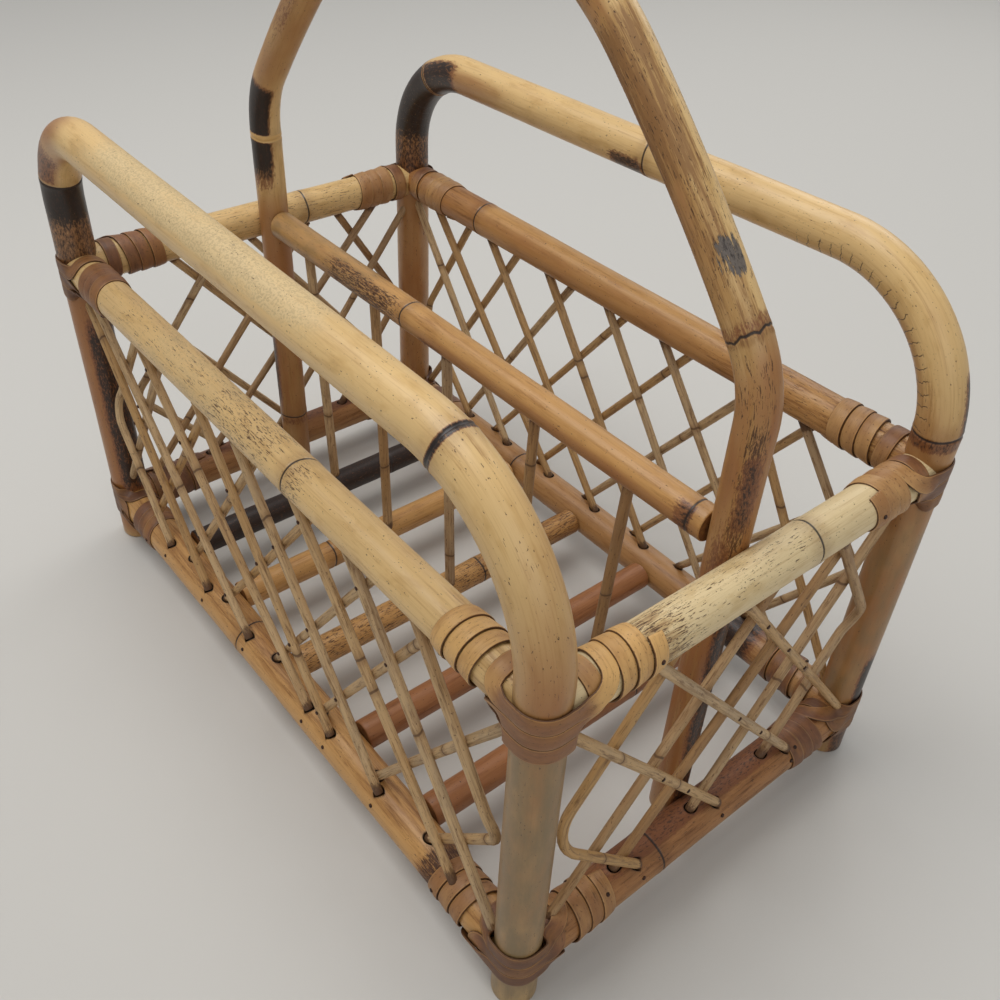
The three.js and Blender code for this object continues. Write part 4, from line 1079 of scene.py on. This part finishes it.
def reed_mesh(name, points, thickness, side, seed, age):
    """Thin reed with a slight sway, brown joints and soiled ends."""
    rng = np.random.default_rng(seed)
    fine = Route(points)
    stops = np.linspace(0, fine.total, max(int(fine.total / REED_FORM["step"]), LEAST_REED_STOPS))
    sway, _ = rng.uniform(-REED_SWAY, REED_SWAY, 2)
    bow = np.sin(math.pi * stops / fine.total) * sway
    route = Route(fine.at(stops) + np.outer(bow, np.cross(side, fine.heading(stops)[0])))
    count = rng.integers(*REED_JOINTS)
    joints = np.sort(rng.uniform(*JOINT_PLACES, count)) * route.total
    radius = thickness / 2 * rng.uniform(*REED_SIZES)
    mesh, distance, _ = tube(name, route, radius, side, seed, joints, (), **REED_FORM)
    soft = SOIL_SOFT * MM
    foot = smooth((distance - route.total + rng.uniform(*SOILED_FOOT) * MM) / soft)
    top = smooth((rng.uniform(*SOILED_TOP) * MM - distance) / soft)
    store(mesh, "stain", np.maximum(top, foot))
    store(mesh, "tone", np.full_like(distance, rng.uniform(0, 1)))
    store(mesh, "aged", np.full_like(distance, age * rng.uniform(*REED_AGES)))
    return mesh


def share_place(half, share):
    """Distance from the middle of a rail at a share of its open half, or beyond it in the bound part."""
    clear = half - BOUND_LENGTH
    size = abs(share)
    return math.copysign(min(size, 1) * clear + max(size - 1, 0) * BOUND_LENGTH, share)


def panel_lines(panel):
    """Lines of a panel's reeds from rim to lower rail, the turned ones last."""
    top_height = RIM_HEIGHT - RIM_RADIUS
    bottom_height = LOWER_HEIGHT + LOWER_RADIUS
    fall = top_height - bottom_height
    depth = {"outer": panel.offset, "inner": -panel.offset}

    def point(distance, height, layer):
        out = panel.reach + depth[layer] + REED_FOOT_SHIFT * (top_height - height) / fall
        return panel.along * distance + panel.out * out + UP * height

    def ends(top, bottom, top_layer, bottom_layer):
        first = point(share_place(panel.half, top), top_height, top_layer)
        return first, point(share_place(panel.half, bottom), bottom_height, bottom_layer)

    lines = [list(ends(*row, layer, layer)) for layer, rows in panel.reeds.items() for row in rows]
    for top, bottom, bend, side, above in panel.turned:
        below = "inner" if above == "outer" else "outer"
        start, end = ends(top, bottom, above, below)
        bend_place = side * (panel.half - POST_RADIUS - TURNED_CLEAR)
        bend_height = bottom_height + fall * bend
        upper = point(bend_place, bend_height, above)
        lower = point(bend_place, bend_height, below)
        before = upper + unit(start - upper) * REED_BEND_REACH
        after = lower + unit(end - lower) * REED_BEND_REACH
        centre = (upper + lower) / 2
        curve = [
            before * (1 - share) ** 2 + centre * 2 * share * (1 - share) + after * share * share
            for share in np.linspace(0, 1, REED_BEND_POINTS)
        ]
        lines.append([start, *curve, end])
    for line in lines:
        line[0] = line[0] + unit(line[0] - line[1]) * REED_SINK
        line[-1] = line[-1] + unit(line[-1] - line[-2]) * REED_SINK
    return lines


def reed_ends(panel, at_foot):
    """Ends of a panel's reeds inside a rail, each with the way that the reed leaves it."""
    lines = [line[::-1] if at_foot else line for line in panel_lines(panel)]
    return [(line[0], line[1] - line[0]) for line in lines]


def drill(piece, ends, route, thickness):
    """Cut a round socket into a straight rail for each reed end, and mark painted shade with some soil round
    its rim and painted shade inside it.
    """
    turns = np.linspace(0, FULL_TURN, SOCKET_SIDES, endpoint=False)[:, None]
    cutters = []
    for spot, away in ends:
        away = unit(away)
        side = unit(np.cross(away, ALONG_X + ALONG_Y))
        ring = SOCKET_WIDTH / 2 * (np.cos(turns) * side + np.sin(turns) * np.cross(away, side))
        rings = np.stack([spot - away * SOCKET_BEYOND + ring, spot + away * SOCKET_CLEAR + ring])
        cutters.append(show("socket_cutter", grid_mesh("socket_cutter", rings)))
        cut = piece.modifiers.new("socket", "BOOLEAN")
        cut.object = cutters[-1]
        cut.solver = "EXACT"
    whole = piece.data
    known = KDTree(len(whole.vertices))
    for vertex in whole.vertices:
        known.insert(vertex.co, vertex.index)
    known.balance()
    drilled = bpy.data.meshes.new_from_object(piece.evaluated_get(bpy.context.evaluated_depsgraph_get()))
    piece.modifiers.clear()
    for cutter in cutters:
        bpy.data.objects.remove(cutter)
    nearest = [known.find(vertex.co) for vertex in drilled.vertices]
    added = [index for index, found in enumerate(nearest) if found[2] > NEW_VERTEX_GAP]
    # A new point on the skin is the socket's rim, with painted shade and soil at part strength, and one
    # below it the inside, with full painted shade
    shade_and_soil = np.zeros(len(drilled.vertices), np.float32)
    heading = route.tangents[0]
    for index in added:
        away = np.array(drilled.vertices[index].co) - route.points[0]
        away -= heading * (away @ heading)
        on_skin = np.linalg.norm(away) > SKIN_SHARE * thickness / 2
        shade_and_soil[index] = SOCKET_RIM_SHADE_AND_SOIL if on_skin else 1
    # New points take the other values from the nearest old one
    for old in whole.attributes:
        if old.domain == "POINT" and old.name != "position":
            field = "vector" if old.data_type == "FLOAT_VECTOR" else "value"
            new = drilled.attributes[old.name]
            for index in added:
                setattr(new.data[index], field, getattr(old.data[nearest[index][1]], field))
    store(drilled, "socket", shade_and_soil)
    drilled.set_sharp_from_angle(angle=SHARP_ANGLE)
    drilled.name = piece.name
    piece.data = drilled


def pin_mesh(name, spot, face, width):
    """Low round head of a pin, driven into a face."""
    turns = np.linspace(0, FULL_TURN, PIN_SIDES, endpoint=False)[:, None]
    side = unit(np.cross(face, ALONG_X + UP))
    ring = np.cos(turns) * side + np.sin(turns) * np.cross(face, side)
    rings = np.stack([spot + width / 2 * (face * lift + ring * share) for share, lift in PIN_PROFILE])
    mesh = grid_mesh(name, rings)
    store(mesh, "grain", rings / MM)
    return mesh


def crossings(panel):
    """Places where a straight outer reed of a panel lies over an inner one, on the outer one's middle."""
    lines = [line for line in panel_lines(panel) if len(line) == 2]
    outer = [line for line in lines if line[0] @ panel.out > panel.reach]
    inner = [line for line in lines if line[0] @ panel.out < panel.reach]
    flat = np.array([panel.along, UP])
    found = []
    for over in outer:
        for under in inner:
            steps = np.array([over[1] - over[0], under[0] - under[1]]) @ flat.T
            share = np.linalg.solve(steps.T, flat @ (under[0] - over[0]))
            if np.all((share > CROSSING_MARGIN) & (share < 1 - CROSSING_MARGIN)):
                found.append(over[0] + (over[1] - over[0]) * share[0])
    return found


def join(name, meshes, material, replaces=()):
    """Join meshes of one material into a piece."""
    pieces = [show(name, mesh) for mesh in meshes]
    for mesh in meshes:
        mesh.materials.append(bpy.data.materials[material])
    bpy.ops.object.select_all(action="DESELECT")
    for piece in pieces:
        piece.select_set(True)
    bpy.context.view_layer.objects.active = pieces[0]
    bpy.ops.object.join()
    pieces[0].name = name
    settle(pieces[0], replaces)


class BASKET_OT_long_panels(bpy.types.Operator):
    """Build the nailed reed lattices of the long sides"""

    bl_idname = "basket.long_panels"
    bl_label = "Long reed panels"

    def execute(self, context):
        thickness = context.scene.basket_sizes.reed_thickness
        for side in ("left", "right"):
            panel = PANELS[side]
            meshes = [
                reed_mesh(
                    f"{side}_reed_{index}", line, thickness, panel.out, panel.seed + index, LONG_REED_AGE
                )
                for index, line in enumerate(panel_lines(panel))
            ]
            join(f"{side}_lattice_reeds", meshes, "peeled_reed", [f"{side}_lattice"])
        return {"FINISHED"}


class BASKET_OT_end_reeds(bpy.types.Operator):
    """Build the reeds of the two ends"""

    bl_idname = "basket.end_reeds"
    bl_label = "End reeds"

    def execute(self, context):
        thickness = context.scene.basket_sizes.reed_thickness
        for side in ("near", "far"):
            panel = PANELS[side]
            for index, line in enumerate(panel_lines(panel)):
                node = f"{side}_reed_{index + 1}"
                age = INNER_REED_AGE if line[-1] @ panel.out < panel.reach + REED_FOOT_SHIFT else 0
                mesh = reed_mesh(node + "_skin", line, thickness, panel.out, panel.seed + index, age)
                place(mesh, ["peeled_reed"], node)
        return {"FINISHED"}


class BASKET_OT_pins(bpy.types.Operator):
    """Drive the small pins that hold the reeds where they cross and at their feet"""

    bl_idname = "basket.pins"
    bl_label = "Reed pins"

    def execute(self, context):
        sizes = context.scene.basket_sizes
        rng = np.random.default_rng(PIN_SEED)
        for side, panel in PANELS.items():
            out = panel.out
            on_reed = out * sizes.reed_thickness * PIN_ON_REED
            heads = [(spot + on_reed, out) for spot in crossings(panel) if rng.uniform() < PINNED_SHARE]
            face = out * math.cos(PIN_RISE) + UP * math.sin(PIN_RISE)
            for foot, _ in reed_ends(panel, True):
                if foot @ out > panel.reach + REED_FOOT_SHIFT:
                    centre = foot + out * (panel.reach - foot @ out)
                    centre[2] = LOWER_HEIGHT
                    heads.append((centre + face * sizes.lower_thickness * PIN_ON_RAIL, face))
            meshes = [pin_mesh(f"{side}_pin", spot, face, sizes.pin_head) for spot, face in heads]
            join(f"{side}_reed_pins", meshes, "rusted_pin_steel")
        return {"FINISHED"}


# Cane bindings: corner, its sides along and across the basket, and age of its strips
CORNERS = (
    ("left_near", 1, -1, 0.2), ("left_far", -1, -1, 0.85),
    ("right_near", 1, 1, 0.55), ("right_far", -1, 1, 0.6),
)
LASHING_SEEDS = {"rim": 500, "lower": 510}
LOWER_AGE = 0.45
PASS_AGE = 0.6
PASS_REACH = 24 * MM
PASS_SOFT = 9 * MM

# Winding of a strip: its turns, the passes across the post, and how it lies on the poles
STRIP_GAP = 8.8 * MM
STRIP_SWING = 5.3 * MM
FIRST_TURN = 18.6 * MM
NEXT_TURN = 28.4 * MM
HELIX_TURNS = 3
TURN_STEPS = 48
CROSSING_STEPS = 12
SWING_STEPS = 5
RIM_PASS = -4.6 * MM
LOWER_PASS = 5 * MM
CROSSING_ANGLE = math.radians(50)
STRIP_LIFT = 1.3 * MM
POST_LEAD = 8 * MM
LAP_SLOPE = 0.1
RAIL_SEAT = 0.75
POST_SEAT = 0.6

# Unevenness of a strip: drift of its turns along the rail, and waves of its width
DRIFT = 0.35 * MM
DRIFT_WAVES = 0.8
DRIFT_GROWTH = 3
DRIFT_PHASES = 6.28
WIDTH_WAVE_SHARE = 0.03
WIDTH_WAVE = 31 * MM
WIDTH_PHASES = 6

# Mesh of a strip, and its section as shares of its width and thickness
STRIP_STEP = 1.6 * MM
STRIP_SMOOTHING = 1.4 * MM
BELL_REACH = 3
STRIP_PROFILE = (
    (-0.5, 0.0), (0.5, 0.0), (0.5, 0.45), (0.485, 0.72), (0.44, 0.88), (0.25, 0.97), (0.0, 1.0),
    (-0.25, 0.97), (-0.44, 0.88), (-0.485, 0.72), (-0.5, 0.45),
)


def strip_route(x_side, y_side, height, rail_radius, post_radius, level, thickness, rng):
    """Places and outward faces of a strip: turns round the long rail, three passes across the post
    with a turn round each rail between them, and turns round the end rail."""
    post = np.array([x_side * HALF_LENGTH, y_side * HALF_WIDTH, height])
    rails = (
        (np.array([-x_side, 0.0, 0.0]), np.array([0.0, y_side, 0.0])),
        (np.array([0.0, -y_side, 0.0]), np.array([x_side, 0.0, 0.0])),
    )
    seat = rail_radius + thickness * RAIL_SEAT
    post_seat = post_radius + thickness * POST_SEAT
    swing_angle = STRIP_SWING / seat
    places = []
    faces = []
    phases = rng.uniform(0, DRIFT_PHASES, 4)

    def pass_angle(count):
        return (level + count * STRIP_GAP) / seat

    def on_rail(rail, along, angle, lift=0.0, lap=LAP_SLOPE):
        away, out = rails[rail]
        growth = min(1, max(0, along / FIRST_TURN - 1) * DRIFT_GROWTH)
        drift = DRIFT * math.sin(DRIFT_WAVES * angle + phases[rail]) * growth
        face = out * math.cos(angle) + UP * math.sin(angle)
        places.append(post + away * (along + drift) + face * (seat + lift))
        faces.append(face + away * lap)

    def beside_post(rail, pass_height):
        away, out = rails[rail]
        places.append(post + away * POST_LEAD + out * post_seat + UP * pass_height)
        faces.append(out)

    def across_post(first_rail, pass_height):
        beside_post(first_rail, pass_height)
        for turned in np.linspace(0, QUARTER_TURN, CROSSING_STEPS + 1):
            face = rails[first_rail][1] * math.cos(turned) + rails[1 - first_rail][1] * math.sin(turned)
            places.append(post + face * post_seat + UP * pass_height)
            faces.append(face)
        beside_post(1 - first_rail, pass_height)

    def helix(rail, start_angle, outward):
        steps = HELIX_TURNS * TURN_STEPS
        for step in range(1, steps + 1):
            count = step if outward else steps + 1 - step
            turned = FULL_TURN * count / TURN_STEPS
            along = NEXT_TURN + STRIP_GAP * count / TURN_STEPS
            on_rail(rail, along, start_angle + (turned if outward else -turned))

    def cross_over(rail, outward):
        for step in range(CROSSING_STEPS + 1):
            share = 1 - step / CROSSING_STEPS if outward else step / CROSSING_STEPS
            bent = QUARTER_TURN * share
            along = NEXT_TURN - (NEXT_TURN - FIRST_TURN + STRIP_SWING) * (1 - math.cos(bent))
            turned = CROSSING_ANGLE * (1 - math.sin(bent))
            angle = pass_angle(1) + turned if outward else pass_angle(-1) - turned
            on_rail(rail, along, angle, STRIP_LIFT * float(smooth(2 * share)), LAP_SLOPE * (1 - share))

    def inner_turn(rail, start_angle, end_angle):
        def swing(bent):
            return FIRST_TURN - STRIP_SWING * (1 - math.sin(bent)), swing_angle * (1 - math.cos(bent))

        bends = np.linspace(0, QUARTER_TURN, SWING_STEPS, endpoint=False)
        for bent in bends:
            along, turned = swing(bent)
            on_rail(rail, along, start_angle - turned, lap=0)
        first = start_angle - swing_angle
        last = end_angle - FULL_TURN + swing_angle
        for angle in np.linspace(first, last, TURN_STEPS):
            on_rail(rail, FIRST_TURN, angle, lap=0)
        for bent in bends[::-1]:
            along, turned = swing(bent)
            on_rail(rail, along, last - swing_angle + turned, lap=0)

    helix(0, pass_angle(-1) - CROSSING_ANGLE, False)
    cross_over(0, False)
    across_post(0, level - STRIP_GAP)
    inner_turn(1, pass_angle(-1), pass_angle(0))
    across_post(1, level)
    inner_turn(0, pass_angle(0), pass_angle(1))
    across_post(0, level + STRIP_GAP)
    cross_over(1, True)
    helix(1, pass_angle(1) + CROSSING_ANGLE, True)
    return np.array(places), np.array(faces)


def eased(values, spread):
    """Values along a row, smoothed with a bell curve."""
    reach = int(BELL_REACH * spread) + 1
    steps = np.arange(-reach, reach + 1)
    bell = np.exp(-0.5 * (steps / spread) ** 2)
    bell /= bell.sum()
    padded = np.pad(values, ((reach, reach), (0, 0)), mode="edge")
    return np.stack([np.convolve(padded[:, axis], bell, "valid") for axis in range(3)], -1)


def strip_mesh(name, places, faces, post, width, thickness, seed, age):
    """Flat strip along a winding, more worn where it passes the post."""
    rng = np.random.default_rng(seed)
    rough = Route(places)
    stops = np.linspace(0, rough.total, int(rough.total / STRIP_STEP))
    spread = STRIP_SMOOTHING / STRIP_STEP
    line = eased(rough.at(stops), spread)
    face = eased(rough.read(stops, faces[rough.kept]), spread)
    heading = unit(np.gradient(line, axis=0))
    face = unit(face - heading * np.sum(face * heading, axis=1, keepdims=True))
    across = np.cross(heading, face)
    widths = width * (1 + WIDTH_WAVE_SHARE * np.sin(stops / WIDTH_WAVE + rng.uniform(0, WIDTH_PHASES)))
    side, rise = np.array(STRIP_PROFILE)[::-1].T
    rings = (
        line[:, None, :]
        + face[:, None, :] * ((rise - 0.5) * thickness)[None, :, None]
        + across[:, None, :] * (side[None, :] * widths[:, None])[..., None]
    )
    mesh = grid_mesh(name, rings)
    shape = rings.shape[:2]
    distance = np.broadcast_to(stops[:, None], shape)
    store_grain(
        mesh, [np.broadcast_to(side * width, shape), np.broadcast_to(rise * thickness, shape), distance], rng
    )
    # Share of the way out to the edge, which the cane material uses for its painted edge highlight and
    # painted gap shade
    store(mesh, "rim", np.broadcast_to(np.abs(side) * 2, shape))
    from_post = np.linalg.norm(line[:, :2] - post, axis=1)
    handled = PASS_AGE * smooth((PASS_REACH - from_post) / PASS_SOFT)
    store(mesh, "age", np.broadcast_to((age + handled)[:, None], shape))
    return mesh


class BASKET_OT_bindings(bpy.types.Operator):
    """Wind the cane strips round the corners"""

    bl_idname = "basket.bindings"
    bl_label = "Cane bindings"

    def execute(self, context):
        sizes = context.scene.basket_sizes
        width = sizes.strip_width
        thickness = sizes.strip_thickness
        levels = (
            ("rim", RIM_HEIGHT, sizes.rim_thickness, RIM_PASS, 0),
            ("lower", LOWER_HEIGHT, sizes.lower_thickness, LOWER_PASS, LOWER_AGE),
        )
        heads = []
        for level, height, rail_thickness, pass_level, level_age in levels:
            for index, (corner, x_side, y_side, age) in enumerate(CORNERS):
                node = f"{corner}_{level}_lashing"
                seed = LASHING_SEEDS[level] + index
                places, faces = strip_route(
                    x_side, y_side, height, rail_thickness / 2, sizes.hoop_thickness / 2, pass_level,
                    thickness, np.random.default_rng(seed),
                )
                post = (x_side * HALF_LENGTH, y_side * HALF_WIDTH)
                age = min(1, age + level_age)
                mesh = strip_mesh(node + "_strip", places, faces, post, width, thickness, seed, age)
                place(mesh, ["split_cane"], node)
                for end in (STRIP_PIN_POINT, -STRIP_PIN_POINT):
                    face = unit(faces[end])
                    spot = places[end] + face * thickness / 2
                    heads.append(pin_mesh("strip_pin", spot, face, sizes.pin_head))
        join("strip_pins", heads, "rusted_pin_steel")
        return {"FINISHED"}


# Stage: floor, lamps with their place and width in metres and power in watts, and light of the room
FLOOR_REACH = 12
FLOOR_DROP = 0.2 * MM
LAMP_TARGET = np.array([0, 0, 150 * MM])
LAMPS = (
    ("key_softbox", (-0.5, -0.35, 2.1), 1.5, 27),
    ("fill_softbox", (1.7, -0.6, 1.3), 1.6, 7),
    ("back_softbox", (-0.6, 1.9, 1.6), 1.4, 12),
)
ROOM_COLOUR = "#F2F4F6"
ROOM_STRENGTH = 0.41

# Camera of the photograph: place, and its right, down and forward directions
CAMERA_PLACE = np.array([0.408416, -0.317373, 0.536213])
CAMERA_RIGHT = np.array([0.63148, 0.77426, 0.041894])
CAMERA_DOWN = np.array([0.511044, -0.374952, -0.773463])
CAMERA_FORWARD = np.array([-0.583153, 0.509836, -0.632455])
CAMERA_LENS = 37.474
CAMERA_SENSOR = 36
CAMERA_NEAR = 10 * MM


def aim(holder, right, up, back, spot):
    """Turn an object's own right, up and back directions along three others, at a spot."""
    rows = np.vstack([np.column_stack([right, up, back, spot]), [0, 0, 0, 1]])
    holder.matrix_world = Matrix(rows.tolist())


class BASKET_OT_stage(bpy.types.Operator):
    """Add the floor, the lamps and the camera"""

    bl_idname = "basket.stage"
    bl_label = "Floor, light and camera"

    def execute(self, context):
        scene = context.scene
        mesh = bpy.data.meshes.new("floor")
        corners = [
            (x * FLOOR_REACH, y * FLOOR_REACH, 0) for x, y in ((-1, -1), (1, -1), (1, 1), (-1, 1))
        ]
        mesh.from_pydata(corners, [], [(0, 1, 2, 3)])
        mesh.materials.append(bpy.data.materials["plain_matt_floor"])
        floor = show("floor", mesh)
        floor.location.z = -FLOOR_DROP
        for name, spot, width, power in LAMPS:
            lamp = bpy.data.lights.new(name, "AREA")
            lamp.shape = "SQUARE"
            lamp.size = width
            lamp.energy = power
            toward = unit(LAMP_TARGET - np.array(spot))
            right = unit(np.cross(toward, UP))
            aim(show(name, lamp), right, np.cross(right, toward), -toward, spot)
        world = bpy.data.worlds.new("soft_studio")
        world.use_nodes = True
        background = world.node_tree.nodes["Background"]
        background.inputs["Color"].default_value = rgba(linear(ROOM_COLOUR))
        background.inputs["Strength"].default_value = ROOM_STRENGTH
        scene.world = world
        camera = bpy.data.cameras.new("photo_camera")
        camera.sensor_width = CAMERA_SENSOR
        camera.lens = CAMERA_LENS
        camera.clip_start = CAMERA_NEAR
        scene.camera = show("photo_camera", camera)
        aim(scene.camera, CAMERA_RIGHT, -CAMERA_DOWN, -CAMERA_FORWARD, CAMERA_PLACE)
        scene.view_settings.view_transform = "Standard"
        return {"FINISHED"}


OPERATORS = (
    BASKET_OT_hoops,
    BASKET_OT_handle,
    BASKET_OT_rails,
    BASKET_OT_divider,
    BASKET_OT_floor_poles,
    BASKET_OT_long_panels,
    BASKET_OT_end_reeds,
    BASKET_OT_pins,
    BASKET_OT_bindings,
    BASKET_OT_stage,
)


class VIEW3D_PT_basket(bpy.types.Panel):
    """Lists the basket's pieces"""

    bl_label = "Magazine basket"
    bl_idname = "VIEW3D_PT_basket"
    bl_space_type = "VIEW_3D"
    bl_region_type = "UI"
    bl_category = "Basket"

    def draw(self, context):
        for operator in OPERATORS:
            self.layout.operator(operator.bl_idname)


CLASSES = (BasketSizes, BasketColours, *OPERATORS, VIEW3D_PT_basket)


def register():
    for kind in CLASSES:
        bpy.utils.register_class(kind)
    bpy.types.Scene.basket_sizes = PointerProperty(type=BasketSizes)
    bpy.types.Scene.basket_colours = PointerProperty(type=BasketColours)


def unregister():
    del bpy.types.Scene.basket_colours
    del bpy.types.Scene.basket_sizes
    for kind in reversed(CLASSES):
        bpy.utils.unregister_class(kind)


def main():
    """Register the add-on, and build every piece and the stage."""
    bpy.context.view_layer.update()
    register()
    make_materials()
    for operator in OPERATORS:
        group, name = operator.bl_idname.split(".")
        getattr(getattr(bpy.ops, group), name)()


if __name__ == "__main__":
    main()
